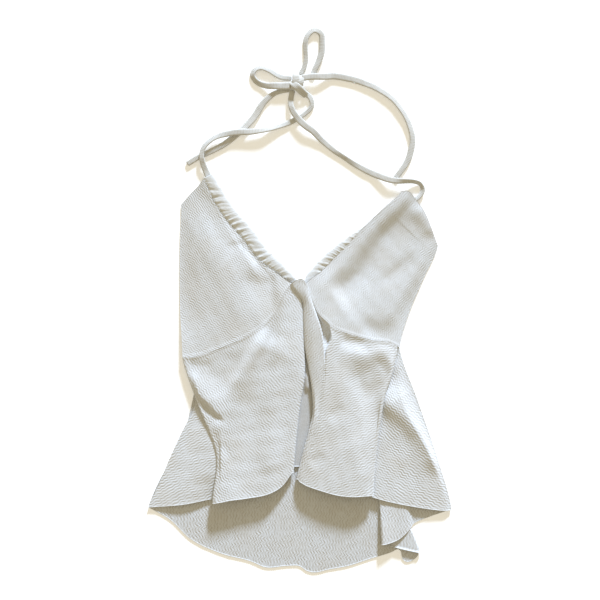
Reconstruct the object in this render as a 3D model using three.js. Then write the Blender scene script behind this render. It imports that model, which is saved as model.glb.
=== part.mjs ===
// A halter neck top in crinkled cloth, laid flat on its back: two cups with gathered neckline casings,
// two flared front skirts that meet in an inverted pleat, a longer back skirt, and two ties in a bow.
// Millimetres, +Z up, +Y towards the bow, and the lowest cloth lies on z = 0.
import * as THREE from "three";

// Driving dimensions
const clothThickness = 1.3;
const seamGap = 0.4; // between two sewn edges
const floorLayer = clothThickness / 2; // middle of the cloth that lies on the surface
const tie = { width: 9.5, thickness: 3.2, sides: 8 };
const tieLow = tie.thickness / 2; // middle of a tie on the surface
const tieHigh = tieLow + tie.thickness + 0.6; // middle of a tie that crosses another
const mouth = { depth: 12, width: 11, height: 4.2 }; // pocket in a casing's end, round the tie
const turnShare = 0.6; // how far a turned edge rounds back, as a share of its two layers' distance
const flankLimit = 3.2; // longest of those, mm
const panelSteps = { skirt: 11, cup: 11, back: 9, underlay: 7 }; // rows from top edge to hem
const columnWidth = { skirt: 11, cup: 9.5, back: 20, underlay: 12 }; // widest step across a panel

// The underbust seams, from the centre front to the side, where cup and skirt meet
const seams = {
  left: seamOf([
    { x: 0.3, y: 127, z: 7.6 },
    { x: -13.7, y: 120.8, z: 9.2 },
    { x: -22, y: 109.6, z: 10 },
    { x: -36, y: 82.3, z: 9 },
    { x: -53, y: 64.8, z: 9.8 },
    { x: -76.7, y: 50, z: 9.4 },
    { x: -100.5, y: 39.6, z: 8.2 },
    { x: -123, y: 30.5, z: 7.4 },
    { x: -145.3, y: 23.5, z: 6.9 },
    { x: -163.5, y: 22, z: 6.7 },
  ]),
  right: seamOf([
    { x: 3, y: 125.7, z: 9.6 },
    { x: 12, y: 113, z: 10 },
    { x: 26.2, y: 83.7, z: 9 },
    { x: 36.7, y: 73, z: 8 },
    { x: 48, y: 62.7, z: 9.5 },
    { x: 67.5, y: 55.3, z: 10 },
    { x: 102, y: 46, z: 9 },
    { x: 123.5, y: 43, z: 7.6 },
    { x: 139, y: 36, z: 6.9 },
  ]),
};

// Fold lines run from a panel's top edge to its hem. s: place of the top on the seam, or top: [x, y].
// x: places in between, evenly spaced down the line. z: heights of the cloth's middle down the line,
// and null for the seam's own height. A line with turn is a folded edge that points right (1) or
// left (-1), and there the cloth goes on at the heights z2. crease: share of the creases it takes.
const skirtLeftFolds = [
  { fold: "turned under", s: 0.1, x: [-8, -7.5, -7.5, -13, -18], hem: [-21, -147], z: [6.6, 5.3, 4.9, 4.8] },
  {
    fold: "front edge", turn: 1, s: 0, x: [5, 6.5, 6.5, -0.5, -5.5], hem: [-8.8, -139],
    z: [5.2, 5, 4.8, 4.8], z2: [null, 7.6, 7.3, 7.1],
  },
  { fold: "first ridge", s: 0.1, x: [-9.5, -18], hem: [-24.9, -157.8], z: [null, 12, 10, 9], crease: 1 },
  { fold: "ridge's back", s: 0.17, x: [-29, -39], hem: [-44.5, -168.5], z: [null, 12.5, 13, 13], crease: 1 },
  { fold: "valley", s: 0.24, x: [-51.5, -67], hem: [-72.5, -174], z: [null, 8, 11, 13.5], crease: 1 },
  { fold: "long ridge", s: 0.37, x: [-79.5, -96.3], hem: [-99, -177.4], z: [null, 14, 15, 15], crease: 1 },
  { fold: "outer slope", s: 0.62, x: [-103, -109], hem: [-113, -180.2], z: [null, 9.6, 13, 15], crease: 1 },
  {
    fold: "outer edge", turn: -1, s: 1, x: [-141, -116], hem: [-121.5, -181.6],
    z: [null, 7.9, 11.2, 13], z2: [4.5, 5.3, 7.6, 8.6],
  },
  {
    fold: "inner edge", turn: 1, s: 0.913, x: [-123, -95], hem: [-95, -174],
    z: [4.5, 5.3, 7.6, 8.6], z2: [2.3, 3, 4.6, 5.6],
  },
  { fold: "side part", s: 0.925, x: [-131, -117], hem: [-121.5, -176], z: [2.3, 3, 4.6, 5.6] },
  { fold: "side fall", s: 0.93, x: [-138, -151], hem: [-162, -183.7], z: [2.3, 3, 5, 5] },
  { fold: "side edge", s: 0.938, x: [-149, -181], hem: [-211.7, -188], z: [2.3, 2.3] },
];
const skirtRightFolds = [
  {
    fold: "turned under", s: 0.08, x: [14, 19, 28, 25, 15], hem: [4.5, -150.5],
    z: [7.4, 9, 9.6, 9, 8, 6, 4.7],
  },
  {
    fold: "front edge", turn: -1, s: 0, x: [6.5, 11.5, 21, 17, 7], hem: [-4.2, -148.3],
    z: [7.2, 9, 9.6, 9, 8, 6, 4.7], z2: [null, 12, 12.6, 12, 10.5, 8.6, 7.2],
  },
  {
    fold: "narrow crest", s: 0.05, x: [16, 23, 29, 26.5, 20], hem: [11.5, -157.8],
    z: [null, 14.5, 16, 15, 13, 11, 9.5], crease: 1,
  },
  {
    fold: "deep valley", s: 0.32, x: [40, 41, 39.5, 35, 31.5], hem: [31, -164.8],
    z: [null, 5.2, 5.6, 8, 11, 12.5, 13.5], crease: 1,
  },
  { fold: "middle ridge", s: 0.45, x: [49.3, 49.3], hem: [52, -169.7], z: [null, 13, 14, 15], crease: 1 },
  { fold: "broad face", s: 0.66, x: [76, 74.5], hem: [74.5, -171.8], z: [null, 13, 15, 16], crease: 1 },
  { fold: "outer slope", s: 0.88, x: [101, 95.5], hem: [91.3, -171.1], z: [null, 12, 13, 14.5], crease: 1 },
  {
    fold: "outer edge", turn: 1, s: 0.985, x: [117.8, 112.3], hem: [102.5, -170.4],
    z: [null, 11.2, 11.2, 11.8], z2: [4.6, 8.9, 8.9, 8.9],
  },
  {
    fold: "inner edge", turn: -1, s: 0.925, x: [101, 92.7], hem: [80, -166.9],
    z: [4.6, 8.9, 8.9, 8.9], z2: [2.4, 6.6, 6.6, 6.6],
  },
  { fold: "side part", s: 0.955, x: [119.3, 127.7], hem: [120.7, -178.8], z: [2.4, 6.6, 6.6, 6.6] },
  { fold: "side valley", s: 0.97, x: [125, 147.3], hem: [175.3, -189.3], z: [2.4, 6.4, 6.4, 5] },
  { fold: "side ridge", s: 0.985, x: [133, 179.5], hem: [196.3, -192.8], z: [2.4, 9, 8.5, 4.5] },
  { fold: "side edge", s: 1, x: [164.8, 190.7], hem: [212, -191.3], z: [2.4, 2.3] },
];
// On a cup s is the place of the line's foot on the seam, and the foot takes the seam's height.
const cupLeftFolds = [
  { fold: "side", top: [-166, 235], x: [-168, -167.3], s: 1, z: [0.8, 0.9, 1.9, null] },
  { fold: "side swell", top: [-157, 245.5], x: [-145, -132], s: 0.78, z: [1.5, 5, 6.5, null] },
  { fold: "fullest line", top: [-149, 254], x: [-122, -95], s: 0.52, z: [2, 7.2, 9.6, null] },
  { fold: "inner swell", top: [-141, 262], x: [-104, -68], s: 0.28, z: [3, 7, 9.2, null] },
  { fold: "casing line", beside: "left", s: 0.075, z: [3.5, 4.4, 5, 6.5, null] },
];
const cupRightFolds = [
  { fold: "neck edge", top: [141.5, 253.5], x: [119, 95.5, 75, 53.5, 33], s: 0.08, z: [8, 8.4, 7.4, null] },
  { fold: "roll", top: [152, 253.5], x: [106, 64], s: 0.2, z: [8.6, 8.7, 7.2, null] },
  { fold: "foot of roll", top: [161.3, 243.3], x: [120.7, 85.7], s: 0.35, z: [5, 2.4, 3.2, null] },
  { fold: "long ridge", top: [174, 225], x: [136, 94], s: 0.5, z: [3.6, 5.6, 7, null] },
  { fold: "side swell", top: [183.7, 202.7], x: [164, 133.3], s: 0.75, z: [1.8, 5.2, 7.4, null] },
  { fold: "side", top: [193.2, 177.5], x: [172.5, 152.5], s: 1, z: [1, 1.3, 2.8, null] },
];
const backTop = 55;
const backLayers = { low: [floorLayer], middle: [2.5, 2.5], high: [4.35, 4.35] };
const backFolds = [
  { fold: "left edge", top: [-152, backTop], x: [-142, -174], hem: [-211, -188] },
  { fold: "hem", top: [-135, backTop], hem: [-181, -205.5] },
  { fold: "hem", top: [-118, backTop], hem: [-152, -232.7] },
  { fold: "hem", top: [-95, backTop], hem: [-109.5, -252.7] },
  { fold: "hem", top: [-70, backTop], hem: [-70, -263] },
  { fold: "hem", top: [-50, backTop], hem: [-46.6, -272] },
  { fold: "hem", top: [-25, backTop], hem: [-20, -270] },
  { fold: "hem", top: [-8, backTop], hem: [-1, -270] },
  { fold: "hem", top: [5, backTop], hem: [10.5, -277] },
  { fold: "lowest point", top: [17, backTop], hem: [22, -279] },
  { fold: "hem", top: [34, backTop], hem: [40, -275] },
  { fold: "hem", top: [50, backTop], x: [54, 60], hem: [67, -270] },
  { fold: "hem", top: [66, backTop], x: [71, 83], hem: [98, -260] },
  { fold: "hem", top: [76, backTop], x: [81, 97], hem: [127, -251] },
  { fold: "notch", top: [83, backTop], x: [87, 104], hem: [137, -246.5] },
  { fold: "notch", top: [86, backTop], x: [90, 107.5], hem: [141, -249] },
  { fold: "curl", top: [89, backTop], x: [92.5, 110.5], hem: [144, -260.4] },
  { fold: "curl", top: [91.5, backTop], x: [94.7, 113], hem: [149.5, -264.1] },
  { fold: "curl", top: [93.6, backTop], x: [96.4, 115.6], hem: [157, -262.5] },
  { fold: "curl", top: [95.6, backTop], x: [97.8, 118], hem: [165, -255.6] },
  {
    fold: "lower fold", turn: 1, top: [98, backTop], x: [100, 121], hem: [168.3, -251.2],
    z: backLayers.low, z2: backLayers.middle,
  },
  { fold: "middle layer", top: [92, backTop], x: [97, 115], hem: [142, -246], z: backLayers.middle },
  {
    fold: "upper fold", turn: -1, top: [85, backTop], x: [92, 108], hem: [114, -239.5],
    z: backLayers.middle, z2: backLayers.high,
  },
  { fold: "upper layer", top: [91, backTop], x: [103, 124], hem: [137.5, -232.6], z: backLayers.high },
  { fold: "brow", top: [98, backTop], x: [110, 135], hem: [151, -221], z: [4.2, 4.2] },
  { fold: "step", top: [105, backTop], x: [116, 141], hem: [156, -214.5], z: [2.7, 2.7] },
  { fold: "foot of step", top: [111, backTop], x: [121, 146], hem: [160, -210], z: [0.9, 0.9] },
  { fold: "wedge", top: [124, backTop], x: [136, 165], hem: [183.7, -200] },
  { fold: "right edge", top: [136, backTop], x: [140, 156, 171.5, 186, 199], hem: [211, -191] },
];
const underlayFolds = [
  { fold: "left edge", top: [-12, 60], x: [-17, -22], hem: [-26, -128], z: [2.6, 2.6] },
  { fold: "middle", top: [5, 60], x: [4, 0], hem: [-5, -131], z: [2.7, 3, 2.9, 2.7] },
  { fold: "right edge", top: [25, 60], x: [24, 22], hem: [18, -127], z: [2.6, 2.6] },
];
// Creases too short for a fold line of their own: a soft trough (rise below 0) or ridge
const creases = {
  left: [{ from: [-58, 50], to: [-92, -6], rise: -1.6, width: 9 }],
  right: [
    { from: [104, 12], to: [60, -16], rise: -4.2, width: 8 },
    { from: [92, -30], to: [52, -56], rise: -1.6, width: 8 },
  ],
};

// Neckline casings: tubes of gathered cloth on their ties, from the centre front to the apex
const casings = {
  left: {
    line: [[-6.5, 127.8], [-9.7, 130], [-32.4, 150.2], [-52.7, 167.6], [-73.7, 195.8], [-96.4, 221.3],
      [-110.4, 242.2], [-127.8, 275.3]],
    width: [12, 15, 19.8, 20.4, 20.6, 20.4, 19, 15],
    height: 6.6,
    puckers: 13,
  },
  right: {
    line: [[10.5, 126.5], [21.3, 139], [33.2, 153], [47.9, 167.7], [66, 181.7], [87, 196.4],
      [108, 209.7], [123.5, 225], [134.7, 237]],
    width: [13, 16, 15, 14, 14, 14, 14, 14, 14],
    height: 6.2,
    puckers: 11,
  },
};
const pucker = { depth: 0.9, sides: 10, rings: 34 };

// The ties: places of each stretch's middle line on the surface, and its height where it leaves it
const tieRoutes = {
  tie_left: {
    steps: 17,
    points: [[-122.9, 266, 3.3], [-126.9, 273.6, 3.3], [-130.8, 282, 3.3], [-134.8, 291, 4.4], [-136.9, 299.5, tieHigh],
      [-136.3, 309.5, tieHigh], [-131.3, 318.9, tieHigh], [-120.1, 328, tieHigh], [-101.2, 334.3, tieHigh],
      [-83.7, 336.4, tieHigh], [-66.9, 337.1, tieHigh], [-52, 339, tieHigh], [-36, 342.6, 3], [-20.7, 347.6, tieLow],
      [-5.3, 354.6, tieLow], [8.7, 363.7, tieLow], [17.1, 374.2, tieLow], [15, 384.7, tieLow], [7.3, 391, tieLow],
      [-0.2, 396.7, tieLow]],
  },
  tie_right: {
    steps: 21,
    points: [[127.9, 229.7, 3.1], [135.5, 237.8, 3.1], [144.5, 242.6, 2], [154.3, 242.6, tieLow], [162.7, 243.3, tieLow],
      [169, 248.9, tieLow], [172.1, 256.5, tieLow], [168.3, 264.3, 2.2], [159.2, 267.8, 4], [148.7, 268.1, tieHigh],
      [138.9, 268.1, tieHigh], [126.3, 269.9, tieHigh], [113.4, 274.1, 3.6], [100, 280, tieLow], [87.1, 286, tieLow],
      [67.5, 297.9, tieLow], [47.9, 311.2, tieLow], [32.5, 323.8, 2.2], [19.2, 337.1, 4.4], [8.7, 344.8, tieHigh],
      [-1.1, 353.9, tieHigh], [-8.1, 363, tieHigh], [-12.2, 373.5, 4.6], [-12.4, 384, 2.6], [-10, 395.8, tieLow]],
  },
  tail_left: {
    steps: 11,
    points: [[-157.9, 292.3, tieLow], [-141.1, 302.1, tieLow], [-109.5, 317.5, tieLow], [-86.5, 335, tieLow],
      [-66.9, 353.9, tieLow], [-49.4, 379.4, tieLow], [-36, 390.5, tieLow], [-23, 394.6, tieLow]],
  },
  tail_right: {
    steps: 15,
    points: [[2.8, 412.2, tieHigh], [14, 413.6, tieHigh], [26, 414, tieHigh], [38, 414.6, 3.2], [47.8, 415.1, tieLow],
      [73.4, 410.7, tieLow], [104.9, 399.3, tieLow], [130.5, 382.2, tieLow], [150.5, 353.6, tieLow],
      [157.7, 325.1, tieLow], [150.5, 296.5, tieLow], [133.3, 271.3, tieLow]],
  },
  bow_loop_left: {
    steps: 13,
    points: [[-11.4, 411.8, tieLow], [-21.3, 412.7, tieLow], [-30.1, 415.5, tieLow], [-43.5, 423.3, tieLow],
      [-55.1, 427, tieLow], [-63.1, 423.3, tieLow], [-65.8, 415.5, tieLow], [-59.6, 406.4, tieLow],
      [-48, 401.9, 3], [-36, 400.9, tieHigh], [-24, 400.7, tieHigh], [-12, 401.6, tieHigh]],
  },
  bow_loop_top: {
    steps: 13,
    points: [[0.1, 416.7, tieLow], [6, 427, tieLow], [8.6, 438, tieLow], [8, 451, tieLow], [8.3, 464.5, tieLow],
      [12.8, 473.3, tieLow], [20.7, 478.2, tieLow], [29.7, 473.3, tieLow], [31.5, 462.7, tieLow],
      [30.5, 449.2, tieLow], [26.7, 436, tieLow], [20.9, 424, tieLow], [17.2, 414.8, tieLow]],
  },
};
const knot = { x: -4.6, y: 406.4, halfWidth: 7, halfLength: 10.4, height: 9.2, boxiness: 0.62 };

const colours = { cloth: 0xd9dad2, smooth: 0xd6d6cf, shaded: 0xb8b3a2, tie: 0xdfe0da };

function seamOf(rows) {
  return new THREE.CatmullRomCurve3(rows.map((row) => new THREE.Vector3(row.x, row.y, row.z)));
}

// A smooth run of values, read at a share from 0 to 1
function along(values, share) {
  if (values.length === 1) return values[0];
  const points = values.map((value, i) => new THREE.Vector2(i, value));
  return new THREE.SplineCurve(points).getPoint(share).y;
}

// A unit vector across a seam in plan, pointing up towards the neck
function acrossSeam(side, share) {
  const t = seams[side].getTangentAt(share);
  const n = new THREE.Vector3(-t.y, t.x, 0).normalize();
  return n.y < 0 ? n.negate() : n;
}

// A point beside a seam: offset is positive on the cup's side
function besideSeam(side, share, offset) {
  return seams[side].getPointAt(share).addScaledVector(acrossSeam(side, share), offset);
}

function casingMiddle(side) {
  return new THREE.CatmullRomCurve3(casings[side].line.map(([x, y]) => new THREE.Vector3(x, y, 0)));
}

// The outer edge of a casing that a cup is sewn to, read from the apex down
function besideCasing(side, share) {
  const curve = casingMiddle(side);
  const t = curve.getTangentAt(1 - share);
  const out = new THREE.Vector3(-t.y, t.x, 0).normalize().multiplyScalar(side === "left" ? 1 : -1);
  return curve.getPointAt(1 - share).addScaledVector(out, along(casings[side].width, 1 - share) / 2 + seamGap);
}

// One fold line as a function of the share from top to hem
function lineOf(row, panel, shift = 0, heights = row.z ?? [floorLayer]) {
  const { side, seamAt } = panel;
  const direction = side === "left" ? -1 : 1;
  const length = side ? seams[side].getLength() : 1;
  const s = row.s === undefined ? undefined : Math.min(1, Math.max(0, row.s + (direction * shift) / length));
  const seam = s === undefined ? null : besideSeam(side, s, seamAt === "top" ? -seamGap / 2 : seamGap / 2);
  const top = seamAt === "top" ? seam : new THREE.Vector3(...(row.top ?? [0, 0]), 0);
  const foot = seamAt === "foot" ? seam : new THREE.Vector3(...row.hem, 0);
  const z = heights.map((value) => (value === null ? seam.z : value));
  const inner = row.x ?? [];
  return {
    s,
    onSeam: heights[seamAt === "top" ? 0 : heights.length - 1] === null,
    crease: row.crease ?? 0,
    at(share) {
      if (row.beside) {
        const edge = besideCasing(row.beside, share * 0.97);
        const join = THREE.MathUtils.smoothstep(share, 0.9, 1);
        return new THREE.Vector3(
          THREE.MathUtils.lerp(edge.x, foot.x, join),
          THREE.MathUtils.lerp(edge.y, foot.y, join),
          along(z, share),
        );
      }
      const xs = seamAt === "top" ? [top.x, ...inner.map((x) => x + shift), foot.x + shift]
        : [top.x + shift, ...inner.map((x) => x + shift), foot.x + (side ? 0 : shift)];
      const x = along(xs, share);
      return new THREE.Vector3(x, THREE.MathUtils.lerp(top.y, foot.y, share), along(z, share));
    },
  };
}

// Each folded edge becomes three lines: a layer, the round of the edge, and the next layer
function linesOf(rows, panel) {
  const lines = [];
  for (const row of rows) {
    if (!row.turn) {
      lines.push(lineOf(row, panel));
      continue;
    }
    const seamZ = panel.side ? besideSeam(panel.side, row.s, 0).z : 0;
    const read = (values, share) => along(values.map((z) => (z === null ? seamZ : z)), share);
    const samples = [0, 0.25, 0.5, 0.75, 1];
    const gapAt = samples.map((share) => Math.abs(read(row.z, share) - read(row.z2, share)));
    const middle = samples.map((share) => (read(row.z, share) + read(row.z2, share)) / 2);
    const flank = (heights, creased) => {
      const base = lineOf({ ...row, crease: creased }, panel, 0, heights);
      const reach = (share) => -row.turn * Math.min(flankLimit, turnShare * along(gapAt, share));
      const start = lineOf(row, panel, reach(0), heights);
      return {
        ...start,
        at(share) {
          const point = base.at(share);
          const first = start.at(0);
          point.x += reach(share);
          if (share === 0 && panel.side) point.set(first.x, first.y, point.z);
          return point;
        },
      };
    };
    lines.push({ ...flank(row.z, 0), tight: true });
    lines.push({ ...lineOf(row, panel, 0, middle), onSeam: false, tight: true });
    lines.push(flank(row.z2, 0));
  }
  return lines;
}

// Heights across a panel, through each line's own and never past them
function heightBetween(points, i, mix) {
  const slopeAfter = (k) => {
    if (k < 0 || k + 1 >= points.length) return 0;
    return (points[k + 1].z - points[k].z) / Math.max(0.2, points[k].distanceTo(points[k + 1]));
  };
  const slopeAt = (k) => {
    const [a, b] = [slopeAfter(k - 1), slopeAfter(k)];
    return a * b <= 0 ? 0 : (2 * a * b) / (a + b);
  };
  const [low, high] = [points[i], points[Math.min(i + 1, points.length - 1)]];
  const span = low.distanceTo(high);
  const [m, m2, m3] = [mix, mix ** 2, mix ** 3];
  return (2 * m3 - 3 * m2 + 1) * low.z + (m3 - 2 * m2 + m) * span * slopeAt(i)
    + (3 * m2 - 2 * m3) * high.z + (m3 - m2) * span * slopeAt(i + 1);
}

function creaseRise(list, x, y) {
  let rise = 0;
  for (const { from, to, rise: most, width } of list) {
    const a = new THREE.Vector2(...from);
    const way = new THREE.Vector2(...to).sub(a);
    const share = THREE.MathUtils.clamp(new THREE.Vector2(x, y).sub(a).dot(way) / way.lengthSq(), 0, 1);
    const gap = new THREE.Vector2(x, y).distanceTo(a.addScaledVector(way, share));
    rise += most * Math.exp(-((gap / width) ** 2)) * Math.sin(Math.PI * THREE.MathUtils.clamp(share, 0.12, 0.88));
  }
  return rise;
}

// The middle surface of a panel as columns of points, each from the top edge to the hem
function netOf(rows, panel) {
  const lines = linesOf(rows, panel);
  const { side, seamAt, steps, span } = panel;
  const shares = Array.from({ length: steps + 1 }, (_, j) => j / steps);
  const levels = shares.map((share) => lines.map((line) => line.at(share)));
  const across = levels.map((points) => new THREE.CatmullRomCurve3(points, false, "centripetal"));
  const columns = [];
  lines.forEach((line, i) => {
    const next = lines[i + 1];
    const widest = next ? Math.max(...levels.map((points) => points[i].distanceTo(points[i + 1]))) : 0;
    const count = line.tight ? 1 : Math.max(1, Math.ceil(widest / span));
    for (let k = 0; k < count; k += 1) {
      const place = (i + k / count) / (lines.length - 1);
      const mix = k / count;
      const column = across.map((curve, j) =>
        curve.getPoint(place).setZ(next ? heightBetween(levels[j], i, mix) : levels[j][i].z));
      const creased = next ? THREE.MathUtils.lerp(line.crease, next.crease, mix) : line.crease;
      if (side && k > 0) {
        const s = THREE.MathUtils.lerp(line.s, next.s, mix);
        const target = besideSeam(side, s, seamAt === "top" ? -seamGap / 2 : seamGap / 2);
        const edge = column[seamAt === "top" ? 0 : steps];
        const fix = target.sub(edge);
        if (!(line.onSeam && next.onSeam)) fix.z = 0;
        shares.forEach((share, j) => {
          const near = seamAt === "top" ? 1 - share : share;
          column[j].addScaledVector(fix, near ** 3);
        });
      }
      if (creased > 0) {
        for (const point of column) point.z += creased * creaseRise(creases[side] ?? [], point.x, point.y);
      }
      columns.push(column);
    }
  });
  return columns;
}

function unitBetween(a, b) {
  return b.clone().sub(a).normalize();
}

// Directions across the cloth. On a seam they stay in the seam's own upright surface.
function normalsOf(columns, panel) {
  const last = columns.length - 1;
  const foot = columns[0].length - 1;
  return columns.map((column, i) => column.map((point, j) => {
    const u = new THREE.Vector3();
    const v = new THREE.Vector3();
    if (i > 0) u.add(unitBetween(columns[i - 1][j], point));
    if (i < last) u.add(unitBetween(point, columns[i + 1][j]));
    if (j > 0) v.add(unitBetween(column[j - 1], point));
    if (j < foot) v.add(unitBetween(point, column[j + 1]));
    const n = u.cross(v).normalize();
    const onSeam = panel.side && j === (panel.seamAt === "top" ? 0 : foot);
    if (!onSeam) return n;
    const seam = seams[panel.side];
    const share = nearestShare(seam, point);
    const over = acrossSeam(panel.side, share);
    return n.addScaledVector(over, -n.dot(over)).normalize();
  }));
}

function nearestShare(curve, point) {
  const tries = 200;
  let best = 0;
  let least = Infinity;
  for (let i = 0; i <= tries; i += 1) {
    const p = curve.getPointAt(i / tries);
    const gap = Math.hypot(p.x - point.x, p.y - point.y);
    if (gap < least) [least, best] = [gap, i / tries];
  }
  return best;
}

// A closed surface from vertices and triangles, turned so that it faces out
function solidFrom(vertices, triangles) {
  let volume = 0;
  for (const [a, b, c] of triangles) {
    volume += vertices[a].dot(new THREE.Vector3().crossVectors(vertices[b], vertices[c]));
  }
  const facing = volume < 0 ? triangles.map(([a, b, c]) => [a, c, b]) : triangles;
  const geometry = new THREE.BufferGeometry().setFromPoints(vertices);
  geometry.setIndex(facing.flat());
  geometry.computeVertexNormals();
  return geometry;
}

// A panel: its net moved out to both sides by half the cloth's thickness, and closed round the rim
function panelSolid(rows, panel) {
  const columns = netOf(rows, panel);
  const normals = normalsOf(columns, panel);
  const high = columns[0].length;
  const count = columns.length * high;
  const faces = [1, -1].map((sign) => columns.flatMap((column, i) =>
    column.map((point, j) => point.clone().addScaledVector(normals[i][j], (sign * clothThickness) / 2))));
  const vertices = faces.flat();
  for (const vertex of vertices) vertex.z = Math.max(0, vertex.z);
  const triangles = [];
  const quad = (a, b, c, d) => triangles.push([a, b, c], [a, c, d]);
  const at = (i, j) => i * high + j;
  for (let i = 0; i < columns.length - 1; i += 1) {
    for (let j = 0; j < high - 1; j += 1) {
      quad(at(i, j), at(i + 1, j), at(i + 1, j + 1), at(i, j + 1));
      quad(count + at(i, j), count + at(i, j + 1), count + at(i + 1, j + 1), count + at(i + 1, j));
    }
    const bottom = high - 1;
    quad(at(i, 0), count + at(i, 0), count + at(i + 1, 0), at(i + 1, 0));
    quad(at(i, bottom), at(i + 1, bottom), count + at(i + 1, bottom), count + at(i, bottom));
  }
  const end = columns.length - 1;
  for (let j = 0; j < high - 1; j += 1) {
    quad(at(0, j), at(0, j + 1), count + at(0, j + 1), count + at(0, j));
    quad(at(end, j), count + at(end, j), count + at(end, j + 1), at(end, j + 1));
  }
  return solidFrom(vertices, triangles);
}

// Rings of equal count, joined one to the next and closed by a fan at each end
function ringSolid(rings) {
  const sides = rings[0].length;
  const vertices = rings.flat();
  const triangles = [];
  for (let i = 0; i < rings.length - 1; i += 1) {
    for (let k = 0; k < sides; k += 1) {
      const a = i * sides + k;
      const b = i * sides + ((k + 1) % sides);
      triangles.push([a, b, b + sides], [a, b + sides, a + sides]);
    }
  }
  [0, rings.length - 1].forEach((ring) => {
    const centre = rings[ring].reduce((sum, p) => sum.add(p), new THREE.Vector3()).divideScalar(sides);
    const hub = vertices.push(centre) - 1;
    for (let k = 0; k < sides; k += 1) {
      const a = ring * sides + k;
      const b = ring * sides + ((k + 1) % sides);
      triangles.push(ring === 0 ? [hub, b, a] : [hub, a, b]);
    }
  });
  return solidFrom(vertices, triangles);
}

// A casing: a rounded tube with gathers on top, flat below, and a pocket in its end for the tie
function casingSolid(side) {
  const { width, height, puckers } = casings[side];
  const curve = casingMiddle(side);
  const ring = (share, w, h, middle, rise) => {
    const centre = curve.getPointAt(share);
    const t = curve.getTangentAt(share);
    const out = new THREE.Vector3(t.y, -t.x, 0).normalize();
    return Array.from({ length: pucker.sides }, (_, k) => {
      const angle = ((k + 0.5) / pucker.sides) * 2 * Math.PI;
      const soft = (value) => Math.sign(value) * Math.abs(value) ** 0.75;
      const z = middle + (h / 2) * soft(Math.sin(angle)) + Math.max(0, Math.sin(angle)) * rise;
      return centre.clone().addScaledVector(out, (w / 2) * soft(Math.cos(angle))).setZ(Math.max(0, z));
    });
  };
  const rings = Array.from({ length: pucker.rings + 1 }, (_, i) => {
    const share = i / pucker.rings;
    const fade = Math.sin(Math.PI * share) ** 0.5;
    const gather = fade * pucker.depth * (Math.abs(Math.sin(share * Math.PI * puckers)) - 1);
    const round = Math.min(1, 0.72 + share * 6);
    return ring(share, along(width, share) * round, height, height / 2, gather);
  });
  const depth = mouth.depth / curve.getLength();
  rings.push(ring(1, mouth.width, mouth.height, height / 2, 0));
  rings.push(ring(1 - depth, mouth.width, mouth.height, height / 2, 0));
  return ringSolid(rings);
}

// A stretch of tie: a flattened oval drawn along its route
function tieSolid({ points, steps }) {
  const route = new THREE.CatmullRomCurve3(points.map(([x, y, z]) => new THREE.Vector3(x, y, z)));
  const half = 1 / Math.cos(Math.PI / tie.sides);
  const section = new THREE.Shape(Array.from({ length: tie.sides }, (_, k) => {
    const angle = ((k + 0.5) / tie.sides) * 2 * Math.PI;
    return new THREE.Vector2(
      (tie.thickness / 2) * half * Math.cos(angle),
      (tie.width / 2) * half * Math.sin(angle),
    );
  }));
  const geometry = new THREE.ExtrudeGeometry(section, { extrudePath: route, steps, bevelEnabled: false });
  const position = geometry.getAttribute("position");
  for (let i = 0; i < position.count; i += 1) position.setZ(i, Math.max(0, position.getZ(i)));
  return geometry;
}

function knotSolid() {
  const geometry = new THREE.SphereGeometry(1, 16, 10);
  const position = geometry.getAttribute("position");
  const boxed = (value) => Math.sign(value) * Math.abs(value) ** knot.boxiness;
  for (let i = 0; i < position.count; i += 1) {
    position.setXYZ(
      i,
      knot.x + knot.halfWidth * boxed(position.getX(i)),
      knot.y + knot.halfLength * boxed(position.getY(i)),
      (knot.height / 2) * (1 + boxed(position.getZ(i))),
    );
  }
  geometry.computeVertexNormals();
  return geometry;
}

function node(name, geometry, color, roughness = 0.92) {
  const mesh = new THREE.Mesh(geometry, new THREE.MeshStandardMaterial({ color, roughness, metalness: 0 }));
  mesh.name = name;
  return mesh;
}

const cups = { span: columnWidth.cup, seamAt: "foot", steps: panelSteps.cup };
const skirts = { span: columnWidth.skirt, seamAt: "top", steps: panelSteps.skirt };
const bodice = new THREE.Group();
bodice.add(
  node("cup_left", panelSolid(cupLeftFolds, { ...cups, side: "left" }), colours.cloth),
  node("cup_right", panelSolid(cupRightFolds, { ...cups, side: "right" }), colours.cloth),
  node("casing_left", casingSolid("left"), colours.smooth),
  node("casing_right", casingSolid("right"), colours.smooth),
);
const skirt = new THREE.Group();
skirt.add(
  node("skirt_left", panelSolid(skirtLeftFolds, { ...skirts, side: "left" }), colours.cloth),
  node("skirt_right", panelSolid(skirtRightFolds, { ...skirts, side: "right" }), colours.cloth),
  node("pleat_underlay", panelSolid(underlayFolds, { span: columnWidth.underlay, steps: panelSteps.underlay }), colours.smooth),
  node("back_panel", panelSolid(backFolds, { span: columnWidth.back, steps: panelSteps.back }), colours.shaded),
);
const ties = new THREE.Group();
for (const [name, route] of Object.entries(tieRoutes)) ties.add(node(name, tieSolid(route), colours.tie));
ties.add(node("bow_knot", knotSolid(), colours.tie));

const top = new THREE.Group();
top.add(bodice, skirt, ties);
export default top;
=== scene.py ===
import math

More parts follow.
